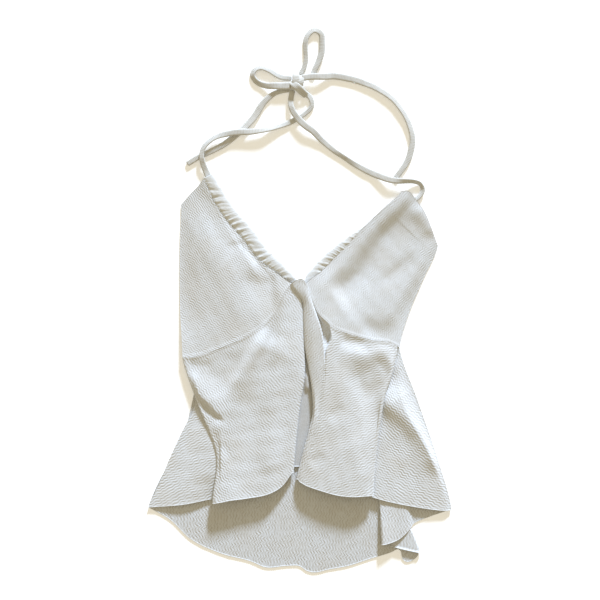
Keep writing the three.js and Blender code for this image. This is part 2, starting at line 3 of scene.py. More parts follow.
import bpy
import numpy as np
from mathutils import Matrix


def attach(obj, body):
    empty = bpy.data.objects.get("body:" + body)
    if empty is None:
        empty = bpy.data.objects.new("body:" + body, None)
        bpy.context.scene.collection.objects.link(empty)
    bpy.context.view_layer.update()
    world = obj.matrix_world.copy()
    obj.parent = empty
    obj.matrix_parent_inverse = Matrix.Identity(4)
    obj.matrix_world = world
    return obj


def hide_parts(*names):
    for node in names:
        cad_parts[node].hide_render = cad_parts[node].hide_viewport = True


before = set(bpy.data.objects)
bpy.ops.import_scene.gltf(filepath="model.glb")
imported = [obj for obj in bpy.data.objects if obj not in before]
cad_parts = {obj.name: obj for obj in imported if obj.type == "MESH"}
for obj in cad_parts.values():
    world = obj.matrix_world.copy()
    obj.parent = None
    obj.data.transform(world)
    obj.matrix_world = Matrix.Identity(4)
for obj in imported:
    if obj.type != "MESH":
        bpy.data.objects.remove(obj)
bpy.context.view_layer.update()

mm = 0.001  # tables are in millimetres, meshes in metres
photoView = {"middle": (0.3, 101.9), "across": 840, "distance": 2200}

def addObject(name, data):
    thing = bpy.data.objects.new(name, data)
    bpy.context.scene.collection.objects.link(thing)
    return thing


# The garment lies flat and the camera looks straight down on it
cameraData = bpy.data.cameras.new("overheadCamera")
cameraData.sensor_width = 36
cameraData.lens = 36 * photoView["distance"] / photoView["across"]
cameraData.clip_end = 20
camera = addObject("overheadCamera", cameraData)
camera.location = [place * mm for place in (*photoView["middle"], photoView["distance"])]
bpy.context.scene.camera = camera


# A smooth run through evenly spaced values, read at places from 0 to 1
def alongValues(values, places):
    values, places = np.asarray(values, float), np.asarray(places, float)
    last = len(values) - 1
    if last == 0:
        return np.full(places.shape, values[0])
    place = np.clip(places, 0, 1) * last
    i = np.minimum(place.astype(int), last - 1)
    t = place - i
    before, start, end, after = (values[np.clip(i + k, 0, last)] for k in (-1, 0, 1, 2))
    leave, arrive = (end - before) / 2, (after - start) / 2
    return (
        (2 * start - 2 * end + leave + arrive) * t**3
        + (3 * end - 3 * start - 2 * leave - arrive) * t**2
        + leave * t + start
    )


# The stretch from point i to the next of a centripetal curve, for rows of points at once
def stretchBetween(points, i, t):
    start, end = points[:, i], points[:, i + 1]
    before = points[:, i - 1] if i > 0 else 2 * start - end
    after = points[:, i + 2] if i + 2 < points.shape[1] else 2 * end - start

    def knotGap(a, b):
        return np.sqrt(np.maximum(np.linalg.norm(b - a, axis=-1, keepdims=True), 1e-5))

    gap0, gap1, gap2 = knotGap(before, start), knotGap(start, end), knotGap(end, after)
    leave = ((start - before) / gap0 - (end - before) / (gap0 + gap1) + (end - start) / gap1) * gap1
    arrive = ((end - start) / gap1 - (after - start) / (gap1 + gap2) + (after - end) / gap2) * gap1
    t = np.asarray(t)[None, :, None]
    start, end, leave, arrive = (v[:, None, :] for v in (start, end, leave, arrive))
    return (
        start + leave * t + (3 * end - 3 * start - 2 * leave - arrive) * t**2
        + (2 * start - 2 * end + leave + arrive) * t**3
    )


def unit(ways):
    return ways / np.linalg.norm(ways, axis=-1, keepdims=True)


def lengthsAlong(line):
    return np.concatenate([[0], np.cumsum(np.linalg.norm(np.diff(line, axis=0), axis=1))])


# A smooth curve through a few points, with its places by length
def smoothCurve(points, steps=40):
    points = np.asarray(points, float)
    t = np.linspace(0, 1, steps, endpoint=False)
    runs = [stretchBetween(points[None], i, t)[0] for i in range(len(points) - 1)]
    samples = np.vstack([*runs, points[-1:]])
    lengths = lengthsAlong(samples)
    return {"samples": samples, "shares": lengths / lengths[-1], "length": lengths[-1]}


def pointAt(curve, share):
    share = np.clip(share, 0, 1)
    return np.stack([np.interp(share, curve["shares"], curve["samples"][:, k]) for k in range(3)], axis=-1)


def directionAt(curve, share):
    step = 0.004
    return unit(pointAt(curve, share + step) - pointAt(curve, share - step))


def smoothStep(value):
    value = np.clip(value, 0, 1)
    return value * value * (3 - 2 * value)


# 1 at the middle, and nearly 0 from twice the width on
def bell(distance, width):
    return np.exp(-((distance / width) ** 2))


def wave(place, length, shift=0.0):
    return np.sin(2 * math.pi * place / length + shift)


# A sine or cosine that makes a squarer section than a circle, the more so the smaller the power
def squarer(value, power):
    return np.sign(value) * np.abs(value) ** power


# Slow waves in several directions, from about -1 to 1: no cloth lies evenly
def unevenness(x, y, seed, size):
    rise = 0
    for k in range(6):
        angle = seed * 1.7 + k * 2.399
        place = x * math.cos(angle) + y * math.sin(angle)
        rise = rise + wave(place, size * (0.55 + 0.3 * k), seed * (k + 1.3))
    return rise / 3.2


# Faces of a tube whose rings follow each other from vertex number start
def tubeFaces(rings, sides, start=0):
    faces = []
    for ring in range(rings - 1):
        for k in range(sides):
            a, b = start + ring * sides + k, start + ring * sides + (k + 1) % sides
            faces.append((a, b, b + sides, a + sides))
    return faces


# Fans that close such a tube on the two middle points that come after its rings
def endFans(rings, sides, start=0):
    middle, last = start + rings * sides, start + (rings - 1) * sides
    faces = []
    for k in range(sides):
        following = (k + 1) % sides
        faces.append((middle, start + following, start + k))
        faces.append((middle + 1, last + k, last + following))
    return faces


# Faces between a fine edge and a wide one, which has one step for every so many of the fine one
def rimFaces(fine, wide, every):
    return [
        [*fine[k * every : (k + 1) * every + 1].tolist(), int(wide[k + 1]), int(wide[k])]
        for k in range(len(wide) - 1)
    ]


def flipped(faces):
    return [face[::-1] for face in faces]


def newPiece(name, vertices, faces, uv, materials, faceMaterial=None):
    mesh = bpy.data.meshes.new(name)
    mesh.from_pydata((np.asarray(vertices) * mm).tolist(), [], faces)
    for material in materials:
        mesh.materials.append(material)
    if faceMaterial is not None:
        mesh.polygons.foreach_set("material_index", np.asarray(faceMaterial, np.int32))
    corners = np.zeros(len(mesh.loops), np.int32)
    mesh.loops.foreach_get("vertex_index", corners)
    ribPlace = mesh.uv_layers.new(name="ribs")
    ribPlace.data.foreach_set("uv", np.asarray(uv, np.float32)[corners].ravel())
    mesh.polygons.foreach_set("use_smooth", np.ones(len(mesh.polygons), bool))
    mesh.update()
    return addObject(name, mesh)


# Materials: one crinkled knit, seen ribbed on the panels and smooth where it is doubled and sewn
clothLook = {
    "light": (0.645, 0.66, 0.668),
    # painted shade: the darker, warmer colour laid into the rib grooves and the fine specks
    "paintedGrooveShade": (0.50, 0.475, 0.425),
    "patch": (0.62, 0.615, 0.595),
    # painted shade: the ties' knit dimmed and warmed towards their shaded tan
    "tiePaintedShade": (0.97, 0.95, 0.9),
    "roughness": 0.93,
    "sheen": 0.12,
    "knitDepth": 0.00005,
    # marks that lie unevenly: how many to a metre, their detail and roughness
    "brokenRibs": (150.0, 2.0, 0.5),
    "patches": (28.0, 3.0, 0.55),
    "stitchSpecks": (900.0, 2.0, 0.6),
    "puckers": (260.0, 3.0, 0.6),
}


def nodeMaker(material):
    material.use_nodes = True
    tree = material.node_tree
    tree.nodes.clear()

    def make(kind, inputs=(), **settings):
        node = tree.nodes.new(kind)
        for key, value in settings.items():
            setattr(node, key, value)
        for key, value in dict(inputs).items():
            if isinstance(value, bpy.types.NodeSocket):
                tree.links.new(value, node.inputs[key])
            else:
                node.inputs[key].default_value = value
        return node

    return make


def clothMaterial(name, tint=(1.0, 1.0, 1.0), ribDepth=0.00022, ribShade=0.55, crumple=0.0):
    make = nodeMaker(bpy.data.materials.new(name))
    place = make("ShaderNodeTexCoord").outputs["Object"]

    def marks(kind):
        scale, detail, roughness = clothLook[kind]
        inputs = {"Vector": place, "Scale": scale, "Detail": detail, "Roughness": roughness}
        return make("ShaderNodeTexNoise", inputs).outputs["Fac"]

    def spread(value, low, high, toLow=0.0, toHigh=1.0):
        inputs = {"Value": value, "From Min": low, "From Max": high, "To Min": toLow, "To Max": toHigh}
        return make("ShaderNodeMapRange", inputs).outputs["Result"]

    def blend(share, under, over):
        return make("ShaderNodeMix", {0: share, 6: under, 7: over}, data_type="RGBA").outputs[2]

    # even ribs from the piece's own places, broken off here and there
    uv = make("ShaderNodeUVMap", uv_map="ribs").outputs["UV"]
    across = make("ShaderNodeSeparateXYZ", {"Vector": uv}).outputs["X"]
    turn = make("ShaderNodeMath", {0: across, 1: 2 * math.pi}, operation="MULTIPLY").outputs[0]
    evenRib = spread(make("ShaderNodeMath", {0: turn}, operation="SINE").outputs[0], -1.0, 1.0)
    hold = spread(marks("brokenRibs"), 0.32, 0.56, toLow=0.15)
    rib = make("ShaderNodeMix", {0: hold, 2: 0.6, 3: evenRib}).outputs[0]
    specks = marks("stitchSpecks")

    light, paintedGrooveShade, patch = (
        (*np.multiply(clothLook[key], tint).tolist(), 1.0) for key in ("light", "paintedGrooveShade", "patch")
    )
    colour = blend(spread(marks("patches"), 0.42, 0.68, toHigh=0.8), light, patch)
    # painted shade in the rib grooves, as much as ribShade, and a little of it on the fine knit specks
    colour = blend(spread(rib, 0.55, 0.0, toHigh=ribShade), colour, paintedGrooveShade)
    colour = blend(spread(specks, 0.5, 0.75, toHigh=0.35), colour, paintedGrooveShade)

    normal = make("ShaderNodeBump", {"Height": rib, "Distance": ribDepth, "Strength": 0.8}).outputs["Normal"]
    reliefs = [(specks, clothLook["knitDepth"], 0.7)]
    if crumple:
        reliefs.append((marks("puckers"), crumple, 0.8))
    for height, depth, strength in reliefs:
        inputs = {"Height": height, "Distance": depth, "Strength": strength, "Normal": normal}
        normal = make("ShaderNodeBump", inputs).outputs["Normal"]
    shader = make(
        "ShaderNodeBsdfPrincipled",
        {
            "Base Color": colour,
            "Roughness": clothLook["roughness"],
            "Sheen Weight": clothLook["sheen"],
            "Normal": normal,
        },
    )
    make("ShaderNodeOutputMaterial", {"Surface": shader.outputs["BSDF"]})
    return bpy.data.materials[name]


crinkleKnit = clothMaterial("crinkleKnit", crumple=0.00018)
# painted shade: a slightly darker copy of the knit, with more painted shade in its rib grooves
backKnit = clothMaterial(
    "backKnit", tint=(0.95, 0.95, 0.95), ribDepth=0.0003, ribShade=0.75, crumple=0.00018
)
# painted shade: a darker copy of the knit for the underlay deep in the centre-front slit
innerKnitPaintedShade = clothMaterial(
    "innerKnitPaintedShade", tint=(0.8, 0.79, 0.78), ribDepth=0.00005, ribShade=0.2, crumple=0.0003
)
# painted light: a lighter copy of the knit for the smooth casings
smoothKnit = clothMaterial(
    "smoothKnit", tint=(1.08, 1.08, 1.07), ribDepth=0.00005, ribShade=0.12, crumple=0.0005
)
rolledHemKnit = clothMaterial("rolledHemKnit", tint=(1.06, 1.06, 1.06), ribDepth=0.0001, ribShade=0.3)
# painted shade: the ties take a dimmer, warmer copy of the knit
tieKnit = clothMaterial(
    "tieKnit", tint=clothLook["tiePaintedShade"], ribDepth=0.00025, ribShade=0.75, crumple=0.0002
)
sewingThread = clothMaterial("sewingThread", tint=(1.1, 1.1, 1.1), ribDepth=0.0, ribShade=0.0)

# The ties: each stretch's route with the height of its middle, how it is tilted (degrees, 0 is flat)
# and how wide it shows (1 is its full width), both read evenly along it
tieLow, tieHigh = 1.6, 5.4  # on the surface, and over another stretch
strap = {
    "halfWidth": 4.75,
    "halfThickness": 1.25,
    "lowest": 0.02,
    "clearance": 0.15,
    "sides": 18,
    "ringStep": 0.8,
    "ribPitch": 2.1,
    "ribHeight": 0.16,
    "seamDip": 0.3,  # the seam down its middle, as a share of the thickness
    "edgeRoll": 0.16,
    "sway": 0.12,
    "endSize": 0.35,  # how small an end starts, and how soon it is whole
    "endLength": 1.6,
}
tieRoutes = {
    "leftTie": {
        "node": "tie_left",
        "length": 0.252,
        "farEnd": "object",
        "tilt": [0, 0, 10, 20, 0, 0, 15, 25, 0, 0, -10, 0],
        "width": [1.1, 0.9, 0.72, 0.78, 0.9, 0.95, 0.85, 0.75, 0.8, 0.7, 0.75, 1],
        "points": [(-122.9, 266, 3.3), (-126.9, 273.6, 3.3), (-130.8, 282, 3.3), (-134.8, 291, 4.4),
                   (-136.9, 299.5, tieHigh), (-136.3, 309.5, tieHigh), (-131.3, 318.9, tieHigh),
                   (-120.1, 328, tieHigh), (-101.2, 334.3, tieHigh), (-83.7, 336.4, tieHigh),
                   (-66.9, 337.1, tieHigh), (-52, 339, tieHigh), (-36, 342.6, 3), (-20.7, 347.6, tieLow),
                   (-5.3, 354.6, tieLow), (8.7, 363.7, tieLow), (17.1, 374.2, tieLow),
                   (15, 384.7, tieLow), (7.3, 391, tieLow), (-0.2, 396.7, tieLow)],
    },
    "rightTie": {
        "node": "tie_right",
        "length": 0.309,
        "farEnd": "object",
        "tilt": [0, 0, 20, 30, 0, 0, 0, 15, 0, 0, 0, 10, 0],
        "width": [0.85, 0.8, 0.72, 0.75, 0.9, 1, 0.9, 0.8, 0.85, 0.95, 1, 0.85, 0.8],
        "points": [(127.9, 229.7, 3.1), (135.5, 237.8, 3.1), (144.5, 242.6, 2), (154.3, 242.6, tieLow),
                   (162.7, 243.3, tieLow), (169, 248.9, tieLow), (172.1, 256.5, tieLow),
                   (168.3, 264.3, 2.2), (159.2, 267.8, 4), (148.7, 268.1, tieHigh),
                   (138.9, 268.1, tieHigh), (126.3, 269.9, tieHigh), (113.4, 274.1, 3.6),
                   (100, 280, tieLow), (87.1, 286, tieLow), (67.5, 297.9, tieLow), (47.9, 311.2, tieLow),
                   (32.5, 323.8, 2.2), (19.2, 337.1, 4.4), (8.7, 344.8, tieHigh), (-1.1, 353.9, tieHigh),
                   (-8.1, 363, tieHigh), (-12.2, 373.5, 4.6), (-12.4, 384, 2.6), (-10, 395.8, tieLow)],
    },
    "leftTail": {
        "node": "tail_left",
        "length": 0.184,
        "farEnd": "bare",
        "tilt": [0, 0, 0, 10, 15, 0, 0, 0],
        "width": [0.8, 0.85, 0.9, 1, 1.05, 1, 0.8, 0.7],
        "points": [(-157.9, 292.3, tieLow), (-141.1, 302.1, tieLow), (-109.5, 317.5, tieLow),
                   (-86.5, 335, tieLow), (-66.9, 353.9, tieLow), (-49.4, 379.4, tieLow),
                   (-36, 390.5, tieLow), (-23, 394.6, tieLow), (-12.4, 396.4, tieLow)],
    },
    "rightTail": {
        "node": "tail_right",
        "length": 0.261,
        "farEnd": "bare",
        "tilt": [0, 0, 0, 10, 20, 15, 0, 0],
        "width": [0.95, 1.02, 1, 0.9, 0.8, 0.85, 0.9, 0.85],
        "points": [(2.8, 412.2, tieHigh), (14, 413.6, tieHigh), (26, 414, tieHigh), (38, 414.6, 3.2),
                   (47.8, 415.1, tieLow), (73.4, 410.7, tieLow), (104.9, 399.3, tieLow),
                   (130.5, 382.2, tieLow), (150.5, 353.6, tieLow), (157.7, 325.1, tieLow),
                   (150.5, 296.5, tieLow), (133.3, 271.3, tieLow)],
    },
    "leftLoop": {
        "node": "bow_loop_left",
        "length": 0.125,
        "farEnd": "object",
        "tilt": [0, -10, -20, -25, -20, -10, 0, 0],
        "width": [0.75, 0.8, 0.8, 0.82, 0.85, 0.9, 1.05, 1.1],
        "points": [(-11.4, 411.8, tieLow), (-21.3, 412.7, tieLow), (-30.1, 415.5, tieLow),
                   (-43.5, 423.3, tieLow), (-55.1, 427, tieLow), (-63.1, 423.3, tieLow),
                   (-65.8, 415.5, tieLow), (-59.6, 406.4, tieLow), (-48, 401.9, 3), (-36, 400.9, tieHigh),
                   (-24, 400.7, tieHigh), (-12, 401.6, tieHigh)],
    },
    "topLoop": {
        "node": "bow_loop_top",
        "length": 0.141,
        "farEnd": "object",
        "tilt": [0, 5, 15, 20, 15, -10, -20, -15, 0],
        "width": [0.75, 0.7, 0.72, 0.8, 0.85, 0.9, 1, 0.9, 0.8],
        "points": [(0.1, 416.7, tieLow), (6, 427, tieLow), (8.6, 438, tieLow), (8, 451, tieLow),
                   (8.3, 464.5, tieLow), (12.8, 474.5, tieLow), (20.7, 479.4, tieLow),
                   (29.7, 474.5, tieLow), (31.5, 462.7, tieLow), (30.5, 449.2, tieLow),
                   (26.7, 436, tieLow), (20.9, 424, tieLow), (17.2, 414.8, tieLow)],
    },
}
# The knot: short bands of the same tie wrapped over each other
knotBands = [
    {"points": [(2.6, 415.5, 3.5), (2.2, 411, 6.5), (1, 404.5, 7.4), (-2, 398.5, 5.8), (-4, 395, 3)],
     "tilt": [0, 20, 20], "width": [0.9, 0.95, 0.9]},
    {"points": [(-5, 418.6, 2.2), (-5.2, 416.5, 7), (-5.4, 411, 8.6), (-6.4, 404, 8.4), (-8, 398, 6.5),
                (-8.6, 395.4, 3)],
     "tilt": [0, 0, 0], "width": [1, 1.05, 1, 0.9]},
    {"points": [(-11, 407, 4), (-9.6, 404.6, 8), (-5.4, 400.3, 9.2), (-0.6, 396, 7.6), (5, 391.2, 5),
                (10, 387.4, 3.2)],
     "tilt": [0, 0, -10, -10], "width": [0.8, 1.05, 1.15, 1.1, 1.0]},
]


# A strap of doubled cloth along its route: rounded edges, a shallow seam down its middle, fine cross ribs
def strapMesh(route):
    curve, sides = smoothCurve(route["points"]), strap["sides"]
    count = max(8, int(curve["length"] / strap["ringStep"]))
    shares = np.linspace(0, 1, count + 1)
    centre, way = pointAt(curve, shares), directionAt(curve, shares)
    side = unit(np.cross(way, (0, 0, 1)))
    up = np.cross(side, way)
    tilt = np.radians(alongValues(route["tilt"], shares))[:, None]
    broad = np.cos(tilt) * side + np.sin(tilt) * up
    flat = np.cos(tilt) * up - np.sin(tilt) * side
    halfWidth = strap["halfWidth"] * alongValues(route["width"], shares)[:, None]
    lengths = shares * curve["length"]
    fromEnd = np.minimum(lengths, curve["length"] - lengths)
    rounding = np.minimum(1, strap["endSize"] + fromEnd / strap["endLength"])[:, None]
    angles = np.linspace(0, 2 * math.pi, sides, endpoint=False)[None, :]
    over, rise = squarer(np.cos(angles), 0.75), squarer(np.sin(angles), 0.7)
    form = 1 - strap["seamDip"] * bell(over, 0.16)
    form = form * (1 + strap["edgeRoll"] * bell(np.abs(over) - 0.72, 0.16))
    ribs = strap["ribHeight"] * wave(lengths, strap["ribPitch"])[:, None] * np.abs(rise)
    reach = halfWidth * over * rounding + strap["sway"] * np.sin(lengths * 0.21 + 1)[:, None]
    thick = (strap["halfThickness"] * form * rise + ribs * np.sign(rise)) * rounding
    # a tilted strap is lifted until its lower edge clears the surface
    extent = np.hypot(halfWidth * np.sin(tilt), strap["halfThickness"] * 1.2 * np.cos(tilt))
    centre[:, 2] = np.maximum(centre[:, 2], extent[:, 0] + strap["clearance"])
    rings = centre[:, None, :] + reach[..., None] * broad[:, None, :] + thick[..., None] * flat[:, None, :]
    vertices = np.vstack([rings.reshape(-1, 3), centre[:1], centre[-1:]])
    vertices[:, 2] = np.maximum(vertices[:, 2], strap["lowest"])
    faces = tubeFaces(count + 1, sides) + endFans(count + 1, sides)
    along = np.append(np.repeat(lengths / strap["ribPitch"], sides), [0, lengths[-1]])
    uv = np.stack([along, np.append(np.tile(over[0], count + 1), [0, 0])], axis=1)
    return vertices, faces, uv, centre


straps = {}
for name, route in tieRoutes.items():
    vertices, faces, uv, centre = strapMesh(route)
    straps[name] = newPiece(name, vertices, faces, uv, [tieKnit])
    route["centre"] = centre * mm
    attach(straps[name], "root")
    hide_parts(route["node"])

knotParts = [strapMesh(band) for band in knotBands]
offsets = np.cumsum([0] + [len(part[0]) for part in knotParts])
bowKnot = newPiece(
    "bowKnot",
    np.vstack([part[0] for part in knotParts]),
    [tuple(v + offset for v in face) for part, offset in zip(knotParts, offsets) for face in part[1]],
    np.vstack([part[2] for part in knotParts]),
    [tieKnit],
)
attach(bowKnot, "root")
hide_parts("bow_knot")

print("ties and bow:", len(straps), "stretches and a knot")

# The underbust seams, from the centre front to the side, where cup and skirt meet
seams = {
    "left": smoothCurve([(0.4, 130.6, 8.4), (-13.7, 121.6, 9.2), (-22, 109.6, 10), (-36, 82.3, 9),
                         (-53, 64.8, 9.8), (-76.7, 50, 9.4), (-100.5, 39.6, 8.2), (-123, 30.5, 7.4),
                         (-145.3, 23.5, 6.9), (-163.5, 22, 6.7)]),
    "right": smoothCurve([(3.2, 130.8, 9.8), (12, 114, 10), (26.2, 83.7, 10.4), (36.7, 73, 11),
                          (48, 62.7, 10.8), (67.5, 55.3, 10), (102, 46, 9), (123.5, 43, 7.6),
                          (139, 36, 6.9)]),
    # the right skirt's own top first rounds over the left skirt, as a tab at the foot of the neckline
    "rightSkirt": smoothCurve([(-13, 123.5, 11.6), (-6, 129, 12), (3, 131, 12), (9.5, 124, 11.4),
                               (13, 113.5, 10.6), (26.2, 83.7, 10.4), (36.7, 73, 11), (48, 62.7, 10.8),
                               (67.5, 55.3, 10), (102, 46, 9), (123.5, 43, 7.6), (139, 36, 6.9)]),
}
floorLayer = 0.65  # middle of the cloth that lies on the surface
cloth = {
    "thickness": 1.1,
    "fineStep": 1.15,  # widest step of the mesh across a panel that shows
    "hiddenStep": 3.6,
    "turnShare": 0.6,  # how far a turned edge rounds back, as a share of its two layers' distance
    "turnLimit": 3.2,
    "ribHeight": 0.125,
    "ribPitch": 3.6,
    "waviness": 1.05,
    "waveLength": 8.2,
    "unevenRise": 0.22,
    "unevenSize": 38,
    "seamRise": 0.32,
    "seamWidth": 1.6,
    "plainTop": 4,  # how far from its top and its foot a panel has its full ribs
    "plainFoot": 3.5,
    "lowest": 0.03,
}
coarse = 3  # the underside has one step for this many of the top side


# Neckline casings: open tubes of gathered cloth round their ties, from the centre front to the apex
casings = {
    "left": {
        "name": "leftCasing", "node": "casing_left", "seed": 3, "seamSide": -1,
        "line": [(-2, 122.4), (-9.7, 130), (-32.4, 150.2), (-52.7, 167.6), (-73.7, 195.8), (-96.4, 221.3),
                 (-110.4, 242.2), (-127.8, 275.3)],
        "width": [12, 15, 19.8, 20.4, 20.6, 20.4, 19, 15],
        "height": 7.2, "slope": 0.45, "gatherPitch": 10.5, "gatherDepth": 1.4,
        "flat": (0.042, 0.23),
    },
    "right": {
        "name": "rightCasing", "node": "casing_right", "seed": 8, "seamSide": 1,
        "line": [(7, 121.5), (20.3, 138.4), (33.2, 153), (47.9, 167.7), (66, 181.7), (87, 196.4),
                 (108, 209.7), (123.5, 225), (134.7, 237)],
        "width": [13, 16, 15, 14, 14, 14, 14, 14, 14],
        "height": 6.6, "slope": 0.6, "gatherPitch": 9.5, "gatherDepth": 1.15,
        "flat": (0.035, 0.2),
    },
}
casingMesh = {
    "rings": 230,
    "sides": 40,
    "insideEvery": (5, 4),  # the inside has one point for so many rings and sides of the outside
    "wall": 0.9,
    "lowest": 0.05,
    "cupEdge": 0.96,  # where the cup is sewn on, as a share of the half width
    "lean": 5.5,  # how far each gather leans along the casing on its way to the seam
    "smallPitch": 5.1,
    "smallDepth": 0.26,
    "stitchPlace": 0.88,
    "stitchDepth": 0.7,
    "stitchStep": 3.2,
    "stitchLength": 2.3,
}
for casing in casings.values():
    casing["curve"] = smoothCurve([(x, y, 0) for x, y in casing["line"]])


# The level direction across a casing, from the neck edge to its seam with the cup
def acrossCasing(casing, shares):
    way = directionAt(casing["curve"], shares)
    return np.stack([way[:, 1], -way[:, 0], np.zeros(len(way))], axis=1) * casing["seamSide"]


# The edge of a casing that a cup is sewn to, read from the apex down
def besideCasing(casing, shares):
    shares = 1 - shares
    reach = alongValues(casing["width"], shares) / 2 * casingMesh["cupEdge"]
    return pointAt(casing["curve"], shares) + acrossCasing(casing, shares) * reach[:, None]


# One fold line from a panel's top edge to its hem, as points at the given shares
def lineOf(row, panel, shares, heights, shift=0.0):
    side, edge = panel.get("side"), panel.get("sewn")
    s = row.get("s")
    if s is not None:
        s = min(1.0, max(0.0, s + (-1 if side == "left" else 1) * shift / seams[side]["length"]))
    seam = pointAt(seams[side], s) if s is not None else None
    top = seam if edge == "top" else np.array([*row.get("top", (0, 0)), 0.0])
    foot = seam if edge == "foot" else np.array([*row.get("hem", (0, 0)), 0.0])
    z = [seam[2] if height is None else height for height in heights]
    inner = [x + shift for x in row.get("x", [])]
    if edge == "top":
        xs = [top[0], *inner, foot[0] + shift]
    else:
        xs = [top[0] + shift, *inner, foot[0] + (0 if side else shift)]
    line = np.stack(
        [alongValues(xs, shares), top[1] + (foot[1] - top[1]) * shares, alongValues(z, shares)], axis=1
    )
    if "beside" in row:
        # along the casing first, and over the last tenth to its place on the underbust seam
        join = smoothStep((shares - 0.9) / 0.1)[:, None]
        edge = besideCasing(casings[row["beside"]], shares * 0.97)
        line[:, :2] = (edge * (1 - join) + foot * join)[:, :2]
    onSeam = heights[0 if panel.get("sewn") == "top" else -1] is None
    return {"points": line, "s": s, "onSeam": onSeam, "raised": row.get("crease", 1), "tight": False}


# Each folded edge becomes three lines: a layer, the round of the edge, and the next layer
def linesOf(panel, shares):
    lines = []
    ribs = panel["firstRibs"]
    for row in panel["folds"]:
        heights = row.get("z", [floorLayer])
        if "turn" not in row:
            ribs = row.get("ribs", ribs)
            line = lineOf(row, panel, shares, heights)
            lines.append(line | {"ribs": ribs, "hidden": row.get("hidden", False)})
            continue
        seamZ = pointAt(seams[panel["side"]], row["s"])[2] if "side" in panel else 0
        upper, lower = (
            alongValues([seamZ if z is None else z for z in row[key]], shares) for key in ("z", "z2")
        )
        reach = -row["turn"] * np.minimum(cloth["turnLimit"], cloth["turnShare"] * np.abs(upper - lower))
        for part in ("z", "round", "z2"):
            if part == "round":
                line = lineOf(row, panel, shares, heights) | {"onSeam": False, "tight": True}
                line["points"][:, 2] = (upper + lower) / 2
            else:
                line = lineOf(row, panel, shares, row[part]) | {"tight": part == "z"}
                line["points"][:, 0] += reach
                if "side" in panel:
                    # the edge starts at the seam's own point, and draws back just below it
                    start = lineOf(row, panel, shares[:1], row[part], reach[0])
                    fix = start["points"][0, :2] - line["points"][0, :2]
                    line["points"][:, :2] += np.clip(1 - shares * 11, 0, 1)[:, None] * fix
                    line["s"] = start["s"]
            line["raised"] = 0
            ribs = row.get("ribs", ribs) if part == "round" else ribs
            lines.append(line | {"ribs": ribs, "hidden": row.get("hidden", False) and part == "z2"})
    return lines


# Heights across a panel, through each line's own and never past them
def heightsBetween(points, i, mix):
    gaps = np.linalg.norm(np.diff(points, axis=1), axis=2)
    slopes = np.pad(np.diff(points[..., 2], axis=1) / np.maximum(0.2, gaps), ((0, 0), (1, 1)))
    before, after = slopes[:, :-1], slopes[:, 1:]
    product = before * after
    total = np.where(np.abs(before + after) < 1e-9, 1, before + after)
    slope = np.where(product <= 0, 0, 2 * product / total)
    span = gaps[:, i : i + 1]
    low, high = points[:, i : i + 1, 2], points[:, i + 1 : i + 2, 2]
    mix = mix[None]
    return (
        (2 * mix**3 - 3 * mix**2 + 1) * low + (mix**3 - 2 * mix**2 + mix) * span * slope[:, i : i + 1]
        + (3 * mix**2 - 2 * mix**3) * high + (mix**3 - mix**2) * span * slope[:, i + 1 : i + 2]
    )


def upToCoarse(count):
    return max(coarse, math.ceil(count / coarse) * coarse)


# The middle surface of a panel: points by column and row, and what each column carries
def netOf(panel):
    side, edge = panel.get("side"), panel.get("sewn")
    rows = upToCoarse(panel["rows"])
    shares = np.linspace(0, 1, rows + 1) ** panel.get("rowPower", 1)
    lines = linesOf(panel, shares)
    levels = np.stack([line["points"] for line in lines], axis=1)
    columns, raised, ribs, s = [], [], [], []
    for i, line in enumerate(lines[:-1]):
        following = lines[i + 1]
        widest = np.linalg.norm(levels[:, i] - levels[:, i + 1], axis=1).max()
        step = cloth["hiddenStep"] if line["hidden"] else cloth["fineStep"]
        count = coarse if line["tight"] else upToCoarse(widest / step)
        mix = np.arange(count) / count
        part = stretchBetween(levels, i, mix)
        part[..., 2] = heightsBetween(levels, i, mix)
        if side:
            along = line["s"] + (following["s"] - line["s"]) * mix
            seat = 0 if edge == "top" else rows
            fix = pointAt(seams[side], along) - part[seat]
            if not (line["onSeam"] and following["onSeam"]):
                fix[:, 2] = 0
            fix[0] = 0
            near = (1 - shares if edge == "top" else shares) ** 3
            part += near[:, None, None] * fix
        columns.append(part)
        raised.append(line["raised"] + (following["raised"] - line["raised"]) * mix)
        ribs += [line["ribs"]] * count
    columns.append(levels[:, -1:])
    raised.append([lines[-1]["raised"]])
    ribs.append(lines[-1]["ribs"])
    points = np.concatenate(columns, axis=1).transpose(1, 0, 2)
    return points, np.concatenate(raised), ribs


def normalsOf(points):
    u = np.gradient(points, axis=0)
    v = np.gradient(points, axis=1)
    u /= np.maximum(np.linalg.norm(u, axis=2, keepdims=True), 1e-9)
    v /= np.maximum(np.linalg.norm(v, axis=2, keepdims=True), 1e-9)
    normal = np.cross(u, v)
    return normal / np.maximum(np.linalg.norm(normal, axis=2, keepdims=True), 1e-9)


# Creases, as listed: a line of places, how far it rises (a trough is below 0), how wide it is on
# its left and right as it runs, and over which share of its length it comes up at each end
def creaseRise(creases, x, y):
    rise = np.zeros_like(x)
    for crease in creases:
        line = np.asarray(crease["line"], float)
        lengths = lengthsAlong(line)
        nearest, sideOf, share = np.full(x.shape, np.inf), np.zeros_like(x), np.zeros_like(x)
        for a, b, before, after in zip(line, line[1:], lengths, lengths[1:]):
            way = b - a
            t = np.clip(((x - a[0]) * way[0] + (y - a[1]) * way[1]) / (way @ way), 0, 1)
            gap = np.hypot(x - a[0] - t * way[0], y - a[1] - t * way[1])
            closer = gap < nearest
            nearest = np.where(closer, gap, nearest)
            sideOf = np.where(closer, way[0] * (y - a[1]) - way[1] * (x - a[0]), sideOf)
            share = np.where(closer, (before + (after - before) * t) / lengths[-1], share)
        left, right = crease["widths"]
        start, end = crease["fade"]
        hold = smoothStep(share / start) * smoothStep((1 - share) / end)
        rise += crease["rise"] * hold * bell(nearest, np.where(sideOf > 0, left, right))
    return rise


